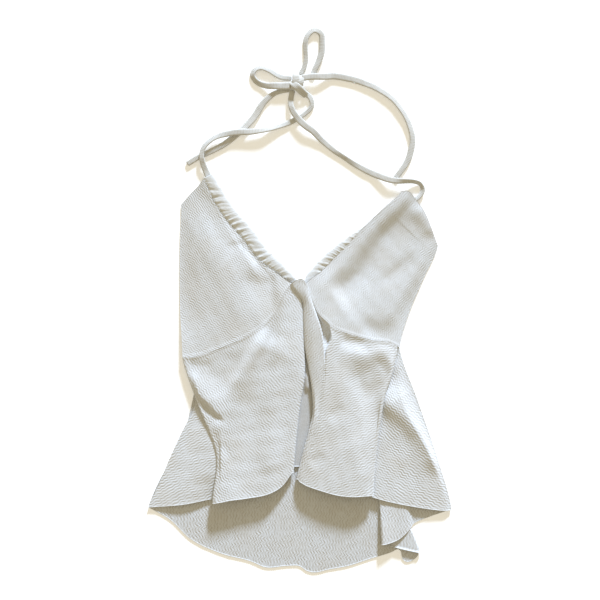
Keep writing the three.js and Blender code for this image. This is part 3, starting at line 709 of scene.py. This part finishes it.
# Places across and along the ribs, which bend round a far middle point
def ribPlaces(ribs, x, y):
    lean = math.radians(ribs["lean"])
    middleX, middleY = ribs["middle"]
    centreX = middleX - ribs["bend"] * math.sin(lean)
    centreY = middleY + ribs["bend"] * math.cos(lean)
    dx, dy = x - centreX, y - centreY
    across = np.hypot(dx, dy)
    away = (math.sin(lean), -math.cos(lean)) if ribs["bend"] > 0 else (-math.sin(lean), math.cos(lean))
    along = abs(ribs["bend"]) * np.arctan2(dx * away[1] - dy * away[0], dx * away[0] + dy * away[1])
    across = across + 3.6 * np.sin(along / 44 + across / 83 + lean) + 0.5 * unevenness(across, along, 2, 17)
    strength = ribs.get("waviness", cloth["waviness"]) * (0.75 + 0.4 * unevenness(across, along, 5, 30))
    place = along + 2.0 * unevenness(across, along, 8, 24)
    turn = 2 * math.pi * place / cloth["waveLength"]
    waves = np.sin(turn) + 0.12 * np.sin(3 * turn) + 0.25 * np.sin(turn * 0.53 + across / 6)
    return across + strength * waves, along


# A thin shell on a net: the upper side fine and ribbed, the underside plain, closed round its rim
def panelPiece(panel):
    points, raised, ribNames = netOf(panel)
    columns, rows = points.shape[:2]
    x, y = points[..., 0], points[..., 1]
    sway = unevenness(x, y, panel["seed"], cloth["unevenSize"])
    rise = creaseRise(panel.get("creases", ()), x, y) + cloth["unevenRise"] * panel.get("uneven", 1) * sway
    points[..., 2] = np.maximum(points[..., 2] + raised[:, None] * rise, floorLayer)
    steps = np.linalg.norm(np.diff(points, axis=1), axis=2)
    fromTop = np.pad(np.cumsum(steps, axis=1), ((0, 0), (1, 0)))
    fromFoot = fromTop[:, -1:] - fromTop
    if "side" in panel:
        fromSeam = fromTop if panel["sewn"] == "top" else fromFoot
        lip = bell(fromSeam - cloth["seamWidth"], cloth["seamWidth"])
        points[..., 2] += cloth["seamRise"] * lip * np.minimum(1, raised * 4)[:, None]
    normals = normalsOf(points)
    facing = 1 if np.median(normals[raised > 0.5, :, 2]) > 0 else -1
    normals = normals * facing

    # ribs, broken off here and there and fading out at the seam and the hem
    across, along = np.zeros_like(x), np.zeros_like(x)
    for name in sorted(set(ribNames)):
        own = [i for i, other in enumerate(ribNames) if other == name]
        across[own], along[own] = ribPlaces(panel["ribs"][name], x[own], y[own])
    pitch = panel["ribs"][ribNames[0]].get("pitch", cloth["ribPitch"])
    broken = np.sin(across / 4.3 + 2 * np.sin(along / 16)) * np.sin(along / 6.1 + 1.5 * np.sin(across / 12))
    ribs = wave(across, pitch) * np.clip(0.72 + 0.5 * broken, 0.2, 1.1)
    edges = smoothStep(fromTop / cloth["plainTop"]) * smoothStep(fromFoot / cloth["plainFoot"])
    ribs = ribs * edges * cloth["ribHeight"] * panel.get("ribShare", 1)

    half = cloth["thickness"] / 2
    top = points + normals * (half + ribs)[..., None]
    under = (points - normals * half)[::coarse, ::coarse]
    vertices = np.vstack([top.reshape(-1, 3), under.reshape(-1, 3)])
    vertices[:, 2] = np.maximum(vertices[:, 2], cloth["lowest"])
    uv = np.stack([across / pitch, along / 10], axis=2)
    uv = np.vstack([uv.reshape(-1, 2), uv[::coarse, ::coarse].reshape(-1, 2)])
    grid = np.arange(columns * rows).reshape(columns, rows)
    low = np.arange(under.shape[0] * under.shape[1]).reshape(under.shape[:2]) + grid.size

    def quads(g):
        return np.stack([g[:-1, :-1], g[1:, :-1], g[1:, 1:], g[:-1, 1:]], axis=2).reshape(-1, 4).tolist()

    faces = quads(grid) + flipped(quads(low))
    for fine, wide, turned in (
        (grid[:, 0], low[:, 0], False), (grid[:, -1], low[:, -1], True),
        (grid[0], low[0], True), (grid[-1], low[-1], False),
    ):
        rim = rimFaces(fine, wide, coarse)
        faces += flipped(rim) if turned else rim
    faces = flipped(faces) if facing < 0 else faces
    faceMaterial = [0] * len(faces)
    if panel.get("hem", True):
        out = unit(points[:, -1] - points[:, -2])
        beads, beadFaces, beadUv = hemBead(points[:, -1], out, normals[:, -1], len(vertices))
        vertices, uv = np.vstack([vertices, beads]), np.vstack([uv, beadUv])
        faces += beadFaces
        faceMaterial += [1] * len(beadFaces)
    piece = newPiece(panel["name"], vertices, faces, uv, [panel["material"], rolledHemKnit], faceMaterial)
    print("panel", panel["name"], len(piece.data.polygons), "faces")
    return piece


# The narrow rolled edge of a hem, with the small waves that its overlocking stitches press in
hem = {"radius": 0.65, "sides": 8, "stitchPitch": 3.1, "stitchDepth": 0.16, "ribPitch": 1.6, "lowest": 0.02}


def hemBead(line, out, up, start):
    count, sides = len(line), hem["sides"]
    lengths = lengthsAlong(line)
    radius = hem["radius"] * (1 + hem["stitchDepth"] * wave(lengths, hem["stitchPitch"]))
    angles = np.linspace(0, 2 * math.pi, sides, endpoint=False)
    ring = np.cos(angles)[None, :, None] * out[:, None] + np.sin(angles)[None, :, None] * up[:, None]
    rings = line[:, None] + ring * radius[:, None, None]
    vertices = np.vstack([rings.reshape(-1, 3), line[:1], line[-1:]])
    vertices[:, 2] = np.maximum(vertices[:, 2], hem["lowest"])
    faces = tubeFaces(count, sides, start) + endFans(count, sides, start)
    along = np.append(np.repeat(lengths / hem["ribPitch"], sides), [0, 0])
    return vertices, faces, np.stack([along, np.zeros(len(vertices))], axis=1)


def casingPiece(casing):
    look, curve, seed = casingMesh, casing["curve"], casing["seed"]
    sides = look["sides"]
    shares = np.linspace(0, 1, look["rings"] + 1)
    centre, out = pointAt(curve, shares), acrossCasing(casing, shares)
    angles = (np.arange(sides) + 0.5)[None] / sides * 2 * math.pi
    over = squarer(np.cos(angles), 0.75)
    rise = squarer(np.sin(angles), np.where(over > 0, 0.5, 0.75))
    mouth = smoothStep(shares * 14) * 0.3 + 0.7
    width = (alongValues(casing["width"], shares) * mouth)[:, None]
    lengths = shares[:, None] * curve["length"]
    # gathers: large ones and small ones, deepest at the seam, at uneven distances
    skewed = lengths - look["lean"] * over + 3.4 * np.sin(lengths / 13 + seed) + 1.6 * np.sin(lengths / 5.3)
    gather = wave(skewed, casing["gatherPitch"], 0.7 * np.sin(lengths / 29 + over))
    small = wave(skewed, look["smallPitch"], 2.4 * np.sin(lengths / 17 + seed) + 1.1 * over)
    uneven = 0.6 + 0.4 * np.sin(lengths / 8.3 + seed * 2)
    pull = casing["gatherDepth"] * (0.5 * gather - 0.5) * uneven + look["smallDepth"] * small
    pull = pull * (0.3 + 0.7 * smoothStep((over + 0.55) / 1.25))
    stitch = -look["stitchDepth"] * bell(over - look["stitchPlace"], 0.12)
    slope = -casing["slope"] * smoothStep((over + 0.15) / 0.95)
    fade = (np.sin(math.pi * shares) ** 0.4)[:, None]
    middle = casing["height"] / 2
    surfaces = []
    for inset in (0, look["wall"]):
        z = middle + (middle - inset) * rise + np.maximum(0, rise) * (fade * (pull + stitch) + slope)
        wide = (width / 2 - inset) * over + 0.35 * np.sin(lengths / 3.1 + over) * np.abs(over)
        ring = centre[:, None] + out[:, None] * wide[..., None]
        ring[..., 2] = np.maximum(z, look["lowest"] + inset)
        surfaces.append(ring)
    everyRing, everySide = look["insideEvery"]
    outer, inner = surfaces[0], surfaces[1][::everyRing, ::everySide]
    grid = np.arange(outer.shape[0] * sides).reshape(-1, sides)
    low = np.arange(inner.shape[0] * inner.shape[1]).reshape(inner.shape[:2]) + grid.size
    faces = tubeFaces(*grid.shape) + flipped(tubeFaces(*low.shape, start=grid.size))
    for end in (0, -1):
        fine, wide = np.append(grid[end], grid[end][0]), np.append(low[end], low[end][0])
        rim = rimFaces(fine, wide, everySide)
        faces += rim if end else flipped(rim)
    if casing["seamSide"] > 0:
        faces = flipped(faces)
    uv = np.stack([skewed / 3.1, np.broadcast_to(over, skewed.shape)], axis=2)
    insideUv = uv[::everyRing, ::everySide]

    # a line of stitches down the seam side
    seamAt = np.argmin(np.abs(over[0] - look["stitchPlace"]) + (rise[0] < 0))
    line = outer[:, seamAt]
    run = lengthsAlong(line)
    stitches = [
        [np.array([np.interp(start + further, run, line[:, k]) for k in range(3)])
         for further in (0, look["stitchLength"])]
        for start in np.arange(3, run[-1] - 4, look["stitchStep"])
    ]
    tubes = np.vstack([outer.reshape(-1, 3), inner.reshape(-1, 3)])
    stitchVertices, stitchFaces = threadMesh(stitches, len(tubes))
    uv = np.vstack([uv.reshape(-1, 2), insideUv.reshape(-1, 2), np.zeros((len(stitchVertices), 2))])
    faceMaterial = [0] * len(faces) + [1] * len(stitchFaces)
    vertices = np.vstack([tubes, stitchVertices])
    materials = [smoothKnit, sewingThread]
    return newPiece(casing["name"], vertices, faces + stitchFaces, uv, materials, faceMaterial)


thread = {"radius": 0.28, "sides": 6, "proud": 0.18}


# Short stitches as slim beads, half sunk in the cloth
def threadMesh(stitches, offset):
    vertices, faces = [], []
    sides = thread["sides"]
    for start, end in stitches:
        way = unit(end - start)
        side = unit(np.cross(way, (0, 0, 1)))
        up = np.cross(side, way)
        base = offset + len(vertices)
        for share, thick in ((0, 0.35), (0.25, 1), (0.75, 1), (1, 0.35)):
            middle = start + (end - start) * share + up * (thread["proud"] * thick)
            for k in range(sides):
                angle = 2 * math.pi * k / sides
                ray = math.cos(angle) * side + math.sin(angle) * up
                vertices.append(middle + thread["radius"] * thick * ray)
        faces += tubeFaces(4, sides, base)
        faces.append(tuple(base + k for k in reversed(range(sides))))
        faces.append(tuple(base + 3 * sides + k for k in range(sides)))
    return np.array(vertices), faces


# Panels: fold lines run from a panel's top edge to its hem. s: place of the top on the seam. x: places in
# between, evenly spaced down the line. z: heights of the cloth's middle, and None for the seam's own.
# A line with turn is a folded edge that points right (1) or left (-1), and there the cloth goes on at z2.
# crease: share of the creases and unevenness that the line takes, 1 where it isn't given. ribs: whose ribs
# the cloth has from this line on. hidden: from here the cloth lies under another layer, in a wide mesh.
# In ribs, lean is the way across the ribs in degrees and bend the radius of their bow.
leftSkirt = {
    "name": "leftSkirt", "node": "skirt_left", "side": "left", "sewn": "top", "rows": 240, "seed": 1,
    "material": crinkleKnit, "firstRibs": "front",
    "flat": (0.28, 0.32), "area": 0.0512,
    "folds": [
        {"s": 0.1, "x": [-8, -7.5, -7.5, -13, -18], "hem": (-21, -147), "z": [6.6, 5.3, 4.9, 4.8],
         "hidden": True, "crease": 0},
        {"turn": 1, "s": 0, "x": [5, 6.5, 6.5, -0.5, -5.5], "hem": (-8.8, -139), "z": [5.2, 5, 4.8, 4.8],
         "z2": [None, 7.6, 7.3, 7.1]},
        {"s": 0.1, "x": [-9.5, -18], "hem": (-24.9, -157.8), "z": [None, 12, 10, 9]},
        {"s": 0.17, "x": [-29, -39], "hem": (-44.5, -168.5), "z": [None, 12.5, 13, 13]},
        {"s": 0.24, "x": [-51.5, -67], "hem": (-72.5, -174), "z": [None, 8.6, 10, 11, 13.5]},
        {"s": 0.37, "x": [-79.5, -96.3], "hem": (-99, -177.4), "z": [None, 12, 12.4, 12.4, 13.4, 15]},
        {"s": 0.62, "x": [-103, -109], "hem": (-108, -179.4), "z": [None, 9.6, 11, 12.4, 13.8, 15]},
        {"s": 0.955, "x": [-135.5, -111.5], "hem": (-116.5, -180.9), "z": [None, 7, 7.8, 9.6, 12, 14.4]},
        {"turn": -1, "s": 1, "x": [-141, -116], "hem": (-121.5, -181.6),
         "z": [None, 6.8, 7.4, 8.8, 11.4, 13.4], "z2": [4.5, 5.2, 6.6, 8], "hidden": True},
        {"turn": 1, "s": 0.913, "x": [-123, -95], "hem": (-95, -174), "z": [4.5, 5.2, 6.6, 8],
         "z2": [2.3, 2.8, 4, 5.2, 4.6, 3], "ribs": "sidePart"},
        {"s": 0.925, "x": [-131, -117], "hem": (-121.5, -176), "z": [2.3, 3, 4.6, 6.4, 6.6, 3.2]},
        {"s": 0.93, "x": [-138, -151], "hem": (-162, -183.7), "z": [2.3, 3, 4.8, 5.2]},
        {"s": 0.938, "x": [-150, -147.9, -164.6, -181, -195.9], "hem": (-211.7, -188), "z": [2.3, 2.3],
         "crease": 0},
    ],
    "ribs": {
        "front": {"middle": (-80, -70), "lean": -52, "bend": 1500},
        "sidePart": {"middle": (-160, -130), "lean": 30, "bend": 700},
    },
    "creases": [
        {"line": [(-161, 2), (-154, -9), (-144, -25), (-130.9, -37.6), (-112.3, -56.2), (-103, -68)],
         "rise": 3.0, "widths": (15, 4.4), "fade": (0.2, 0.42)},
        {"line": [(-140, -36), (-126, -50), (-114, -61), (-104.5, -71)], "rise": -1.7, "widths": (2.2, 9),
         "fade": (0.3, 0.3)},
        {"line": [(-46, 66), (-101, -40)], "rise": 4, "widths": (38, 7.5), "fade": (0.25, 0.45)},
        {"line": [(-158, 12), (-138, 8), (-112, 8)], "rise": -1.3, "widths": (9, 20),
         "fade": (0.15, 0.4)},
        {"line": [(-64, 38), (-82, 16), (-104, -8), (-128, -18)], "rise": -2.3, "widths": (18, 25),
         "fade": (0.5, 0.3)},
        {"line": [(-20, 30), (-36, 8), (-50, -20)], "rise": -0.9, "widths": (10, 10), "fade": (0.3, 0.5)},
        {"line": [(-112, -92), (-95, -121), (-76, -130)], "rise": -0.5, "widths": (6, 8),
         "fade": (0.2, 0.5)},
        {"line": [(-62, -70), (-48, -110), (-36, -140)], "rise": 0.8, "widths": (26, 16),
         "fade": (0.4, 0.2)},
    ],
}
rightSkirt = {
    "name": "rightSkirt", "node": "skirt_right", "side": "rightSkirt", "sewn": "top", "rows": 216, "seed": 2,
    "material": crinkleKnit, "firstRibs": "front",
    "flat": (0.29, 0.32), "area": 0.0486,
    "folds": [
        {"s": 0.172, "x": [13, 15.5, 24, 27, 16], "hem": (4.5, -150.5), "z": [7, 7.6, 7.6, 7.4, 7, 6, 4.7],
         "hidden": True, "crease": 0},
        {"turn": -1, "s": 0, "x": [3.6, 5.2, 6.2, 8, 12, 15.7, 18.2, 18.2, 13, 6.7, 1],
         "hem": (-4.2, -148.3), "z": [7, 7.6, 7.6, 7.4, 7, 6, 4.7], "z2": [None, 9.8, 9.4, 9, 9.4, 8.8, 8],
         "ribs": "leaf"},
        {"s": 0.1, "x": [17.5, 20, 21.5, 20.6, 10], "hem": (0, -151.4),
         "z": [None, 12.6, 12, 10.4, 11.8, 11, 10]},
        {"s": 0.252, "x": [29, 33.2, 27.6, 22.4, 12.5], "hem": (3, -153.2),
         "z": [None, 12, 11.6, 11.4, 12.4, 11.6, 11]},
        {"s": 0.278, "x": [25.5, 31.4, 34.4, 34.6, 32, 29, 26, 23.6, 19, 14, 9], "hem": (4.4, -154),
         "z": [None, 6, 3.8, 6.5, 11.4, 11.5, 11.6, 12, 12.6, 12.3, 12, 11.8, 11.6], "ribs": "front"},
        {"s": 0.459, "x": [42, 36.2, 35.8, 35.6, 33, 30, 27.2, 24.8, 20, 15.6, 10.6], "hem": (6, -155),
         "z": [None, 4.5, 8, 12, 12.2, 12.3, 12.4, 12.6, 12.8, 12.6, 12.4, 12.2, 12]},
        {"s": 0.477, "x": [44.5, 38.4, 37.6, 37, 34.6, 32, 29.6, 27, 22.6, 18, 13.2], "hem": (9, -156.6),
         "z": [None, 11.8, 12.2, 12.6, 12.8, 12.9, 13, 13.2, 13.4, 13.1, 12.8, 12.7, 12.6]},
        {"s": 0.549, "x": [58, 53], "hem": (52, -169.7), "z": [None, 13, 14, 15]},
        {"s": 0.694, "x": [76, 74.5], "hem": (74.5, -171.8), "z": [None, 11.6, 11.4, 12.6, 14, 15, 16]},
        {"s": 0.892, "x": [104, 97], "hem": (91.3, -171.1), "z": [None, 10.8, 9.6, 11, 12.4, 13.6, 14.5]},
        {"s": 0.955, "x": [126, 114.6, 109, 103.4, 99], "hem": (98, -170.8),
         "z": [None, 11.6, 11, 11.4, 11.8, 12.2, 12.6]},
        {"turn": 1, "s": 0.986, "x": [129.5, 118.6, 112.6, 107.8, 104], "hem": (102.5, -170.4),
         "z": [None, 12.4, 11.6, 11.8], "z2": [4.6, 7.4, 7.6, 8.9], "hidden": True},
        {"turn": -1, "s": 0.932, "x": [101, 92.7], "hem": (80, -166.9), "z": [4.6, 6.8, 7.4, 8.9],
         "z2": [2.4, 4.8, 5.4, 6.6], "ribs": "sidePart"},
        {"s": 0.96, "x": [119.3, 127.7], "hem": (120.7, -178.8), "z": [2.4, 6.2, 6.4, 6.6]},
        {"s": 0.973, "x": [125, 147.3], "hem": (175.3, -189.3), "z": [2.4, 6.4, 6.4, 5]},
        {"s": 0.986, "x": [142, 181], "hem": (205, -192.4), "z": [2.4, 6, 5.4, 3.4]},
        {"s": 1, "x": [164.8, 190.7], "hem": (212, -191.3), "z": [2.4, 2.3], "crease": 0},
    ],
    "ribs": {
        "front": {"middle": (60, -70), "lean": 33, "bend": -900},
        "leaf": {"middle": (20, 30), "lean": 60, "bend": 900},
        "sidePart": {"middle": (160, -120), "lean": -38, "bend": 900},
    },
    "creases": [
        {"line": [(124, 22), (104, 4), (84, -10), (62, -18)], "rise": -2.8, "widths": (30, 17),
         "fade": (0.25, 0.35)},
        {"line": [(98, -8), (103, -34), (106, -62), (107, -90)], "rise": -1.9, "widths": (15, 14),
         "fade": (0.35, 0.45)},
        {"line": [(134, 30), (116, 30), (96, 24), (70, 26), (52, 30)], "rise": 1.5, "widths": (13, 8),
         "fade": (0.2, 0.4)},
        {"line": [(52, 46), (74, 43), (98, 38)], "rise": -1.7, "widths": (7, 8), "fade": (0.3, 0.4)},
        {"line": [(70, -44), (48, -56), (36, -68)], "rise": -0.9, "widths": (12, 7), "fade": (0.4, 0.4)},
        {"line": [(40, -112), (20, -122), (10, -128)], "rise": -0.9, "widths": (12, 7),
         "fade": (0.4, 0.4)},
        {"line": [(60, -84), (78, -118), (96, -160)], "rise": 0.8, "widths": (20, 16),
         "fade": (0.3, 0.3)},
        {"line": [(110, -14), (128, -42), (151, -62), (170, -82), (187, -110), (199, -146)], "rise": 5.2,
         "widths": (34, 16), "fade": (0.24, 0.2)},
    ],
}
leftCup = {
    "name": "leftCup", "node": "cup_left", "side": "left", "sewn": "foot", "rows": 200, "seed": 4,
    "material": crinkleKnit, "firstRibs": "cup", "hem": False, "ribShare": 0.65,
    "flat": (0.155, 0.25), "area": 0.0225,
    "folds": [
        {"top": (-166, 235), "x": [-168, -167.3], "s": 1, "z": [0.8, 0.9, 1.9, None], "crease": 0.3},
        {"top": (-157, 245.5), "x": [-145, -132], "s": 0.78, "z": [1.5, 5, 6.5, None]},
        {"top": (-149, 254), "x": [-122, -95], "s": 0.52, "z": [2, 7.2, 9.6, None]},
        {"top": (-141, 262), "x": [-104, -68], "s": 0.28, "z": [3, 7, 9.2, None]},
        {"beside": "left", "s": 0.055, "z": [4.8, 5.2, 5.2, 5.4, None]},
    ],
    "ribs": {"cup": {"middle": (-110, 130), "lean": -48, "bend": 900, "pitch": 3.1}},
    "creases": [
        {"line": [(-28, 121), (-58, 123), (-90, 129)], "rise": -2.7, "widths": (32, 14),
         "fade": (0.2, 0.45)},
        {"line": [(-26, 116), (-59, 152), (-87.5, 184), (-114, 218), (-138, 260)], "rise": -1.1,
         "widths": (24, 4), "fade": (0.2, 0.3)},
        {"line": [(-78, 180), (-92, 178), (-106, 174)], "rise": -0.8, "widths": (10, 5),
         "fade": (0.1, 0.5)},
        {"line": [(-46, 158), (-60, 152), (-76, 148)], "rise": 0.5, "widths": (8, 8), "fade": (0.1, 0.5)},
        {"line": [(-150, 225), (-128, 178), (-100, 120)], "rise": 0.8, "widths": (14, 16),
         "fade": (0.4, 0.4)},
    ],
}
rightCup = {
    "name": "rightCup", "node": "cup_right", "side": "right", "sewn": "foot", "rows": 200, "seed": 6,
    "material": crinkleKnit, "firstRibs": "cup", "hem": False, "ribShare": 0.95,
    "flat": (0.16, 0.22), "area": 0.0225,
    "folds": [
        {"top": (141.5, 253.5), "x": [118.5, 95.5, 74.5, 53.5, 32.5], "s": 0.05,
         "z": [8, 8, 6.6, 5.2, 5.2, None], "crease": 0.3},
        {"top": (152, 253.5), "x": [106, 64], "s": 0.2, "z": [8.6, 8.7, 7.2, None]},
        {"top": (161.3, 243.3), "x": [120.7, 85.7], "s": 0.35, "z": [5.4, 5.6, 5.8, None]},
        {"top": (174, 225), "x": [136, 94], "s": 0.5, "z": [3.6, 5.6, 7, None]},
        {"top": (183.7, 202.7), "x": [164, 133.3], "s": 0.75, "z": [1.8, 5.2, 7.4, None]},
        {"top": (193.2, 177.5), "x": [172.5, 152.5], "s": 1, "z": [1, 1.3, 2.8, None], "crease": 0.3},
    ],
    "ribs": {"cup": {"middle": (120, 130), "lean": 62, "bend": -900, "pitch": 3.1}},
    "creases": [
        {"line": [(162, 236), (136, 214), (113, 184), (85, 138), (60, 118), (44, 108)], "rise": -4.6,
         "widths": (30, 15), "fade": (0.4, 0.12)},
        {"line": [(158, 238), (176, 214), (190, 188)], "rise": 2.4, "widths": (10, 13),
         "fade": (0.3, 0.3)},
        {"line": [(170, 172), (140, 146), (104, 116)], "rise": -1.4, "widths": (12, 8),
         "fade": (0.4, 0.4)},
        {"line": [(140, 52), (108, 58), (76, 72)], "rise": -2.6, "widths": (14, 14), "fade": (0.3, 0.4)},
    ],
}
backLow, backMiddle = [floorLayer], [2.5, 2.5, 2.5, 2.5, 2.5, 4]
backHigh = [4.35, 4.35, 4.35, 4.35, 4.5, 9.4]
backPanel = {
    "name": "backPanel", "node": "back_panel", "rows": 144, "rowPower": 0.62, "seed": 9,
    "material": backKnit, "firstRibs": "back", "uneven": 0.5, "ribShare": 1.3,
    "flat": (0.53, 0.334), "area": 0.116,
    "folds": [
        {"top": (-152, 55), "x": [-142, -174], "hem": (-211, -188)},
        {"top": (-135, 55), "hem": (-181, -205.5)},
        {"top": (-118, 55), "hem": (-152, -232.7)},
        {"top": (-95, 55), "hem": (-109.5, -252.7)},
        {"top": (-70, 55), "hem": (-70, -263)},
        {"top": (-50, 55), "hem": (-46.6, -272)},
        {"top": (-25, 55), "hem": (-20, -270)},
        {"top": (-8, 55), "hem": (-1, -270)},
        {"top": (5, 55), "hem": (10.5, -277)},
        {"top": (17, 55), "hem": (22, -279)},
        {"top": (34, 55), "hem": (40, -275)},
        {"top": (50, 55), "x": [54, 60], "hem": (67, -270)},
        {"top": (66, 55), "x": [71, 83], "hem": (98, -260)},
        {"top": (76, 55), "x": [81, 97], "hem": (127, -251)},
        {"top": (83, 55), "x": [87, 104], "hem": (137, -246.5)},
        {"top": (86, 55), "x": [90, 107.5], "hem": (141, -249), "crease": 0},
        {"top": (89, 55), "x": [92.5, 110.5], "hem": (144, -260.4), "crease": 0},
        {"top": (91.5, 55), "x": [94.7, 113], "hem": (149.5, -264.1), "crease": 0},
        {"top": (93.6, 55), "x": [96.4, 115.6], "hem": (157, -262.5), "crease": 0},
        {"top": (95.6, 55), "x": [97.8, 118], "hem": (165, -255.6), "crease": 0},
        {"turn": 1, "top": (98, 55), "x": [100, 121], "hem": (168.3, -251.2), "z": backLow,
         "z2": backMiddle},
        {"top": (92, 55), "x": [97, 115], "hem": (142, -246), "z": backMiddle, "crease": 0},
        {"turn": -1, "top": (85, 55), "x": [92, 108], "hem": (114, -239.5), "z": backMiddle,
         "z2": backHigh},
        {"top": (91, 55), "x": [103, 124], "hem": (137.5, -232.6), "z": [4.35, 4.35, 4.35, 4.35, 4.4, 6.6],
         "crease": 0},
        {"top": (98, 55), "x": [110, 135], "hem": (151, -221), "z": [4.2, 4.2, 4.2, 4.2, 4.2, 4.8],
         "crease": 0},
        {"top": (105, 55), "x": [116, 141], "hem": (156, -214.5), "z": [2.7, 2.7], "crease": 0},
        {"top": (111, 55), "x": [121, 146], "hem": (160, -210), "z": [0.9, 0.9], "crease": 0},
        {"top": (124, 55), "x": [136, 165], "hem": (183.7, -200), "crease": 0},
        {"top": (136, 55), "x": [140, 156, 171.5, 186, 199], "hem": (211, -191), "crease": 0},
    ],
    "ribs": {"back": {"middle": (0, -230), "lean": 88, "bend": 2500, "pitch": 4.3, "waviness": 1.5}},
}
pleatUnderlay = {
    "name": "pleatUnderlay", "node": "pleat_underlay", "rows": 90, "seed": 5,
    "material": innerKnitPaintedShade, "firstRibs": "under", "uneven": 0.6, "ribShare": 0.2,
    "flat": (0.05, 0.19), "area": 0.0079,
    "folds": [
        {"top": (-12, 60), "x": [-17, -22], "hem": (-26, -128), "z": [2.6, 2.6], "crease": 0},
        {"top": (5, 60), "x": [4, 0], "hem": (-5, -131), "z": [2.9, 3.4, 3.2, 2.9]},
        {"top": (14, 60), "x": [16, 15], "hem": (8, -129.5), "z": [2.8, 3.1, 3, 2.8]},
        {"top": (25, 60), "x": [24, 22], "hem": (18, -127), "z": [2.6, 2.6], "crease": 0},
    ],
    "ribs": {"under": {"middle": (0, -50), "lean": 85, "bend": 2000}},
    "creases": [{"line": [(10, 8), (11, -30)], "rise": 3, "widths": (4, 4), "fade": (0.4, 0.3)}],
}

for casing in casings.values():
    piece = casingPiece(casing)
    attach(piece, "root")
    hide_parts(casing["node"])
    print("casing", casing["name"], len(piece.data.polygons), "faces")

for panel in (leftCup, rightCup, leftSkirt, rightSkirt, pleatUnderlay, backPanel):
    piece = panelPiece(panel)
    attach(piece, "root")
    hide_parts(panel["node"])

# Floor and light: a pale table, a low cool lamp from beyond the bow, and warm light all round
studio = {
    "floorColour": (0.97, 0.97, 0.965),
    "floorHalf": 3,
    "floorHeight": -0.0002,
    "floorGlow": 0.22,  # keeps its shadows pale, as on the photo's white ground
    "lampElevation": 15.5,
    "lampTowards": 14,  # degrees that the shadows lean to the left of straight down
    "lampStrength": 7.7,
    "lampColour": (0.66, 0.785, 1.0),
    "lampAngle": 7,
    "skyColour": (1.0, 0.88, 0.63),
    "skyStrength": 0.59,
}
floorMesh = bpy.data.meshes.new("paleTable")
half = studio["floorHalf"]
corners = [(x * half, y * half, studio["floorHeight"]) for x, y in ((-1, -1), (1, -1), (1, 1), (-1, 1))]
floorMesh.from_pydata(corners, [], [(0, 1, 2, 3)])
paleTable = addObject("paleTable", floorMesh)
makeFloor = nodeMaker(bpy.data.materials.new("paleBoard"))
floorShader = makeFloor(
    "ShaderNodeBsdfPrincipled",
    {
        "Base Color": (*studio["floorColour"], 1.0),
        "Roughness": 0.9,
        "Emission Color": (1.0, 1.0, 1.0, 1.0),
        "Emission Strength": studio["floorGlow"],
    },
)
makeFloor("ShaderNodeOutputMaterial", {"Surface": floorShader.outputs["BSDF"]})
floorMesh.materials.append(bpy.data.materials["paleBoard"])

lampData = bpy.data.lights.new("windowLight", "SUN")
lampData.energy = studio["lampStrength"]
lampData.color = studio["lampColour"]
lampData.angle = math.radians(studio["lampAngle"])
windowLight = addObject("windowLight", lampData)
windowLight.rotation_euler = (
    -math.radians(90 - studio["lampElevation"]), 0, -math.radians(studio["lampTowards"])
)
world = bpy.data.worlds.new("softRoom")
bpy.context.scene.world = world
world.use_nodes = True
sky = world.node_tree.nodes["Background"]
sky.inputs["Color"].default_value = (*studio["skyColour"], 1.0)
sky.inputs["Strength"].default_value = studio["skyStrength"]
bpy.context.scene.view_settings.view_transform = "Standard"
print("floor and light placed")
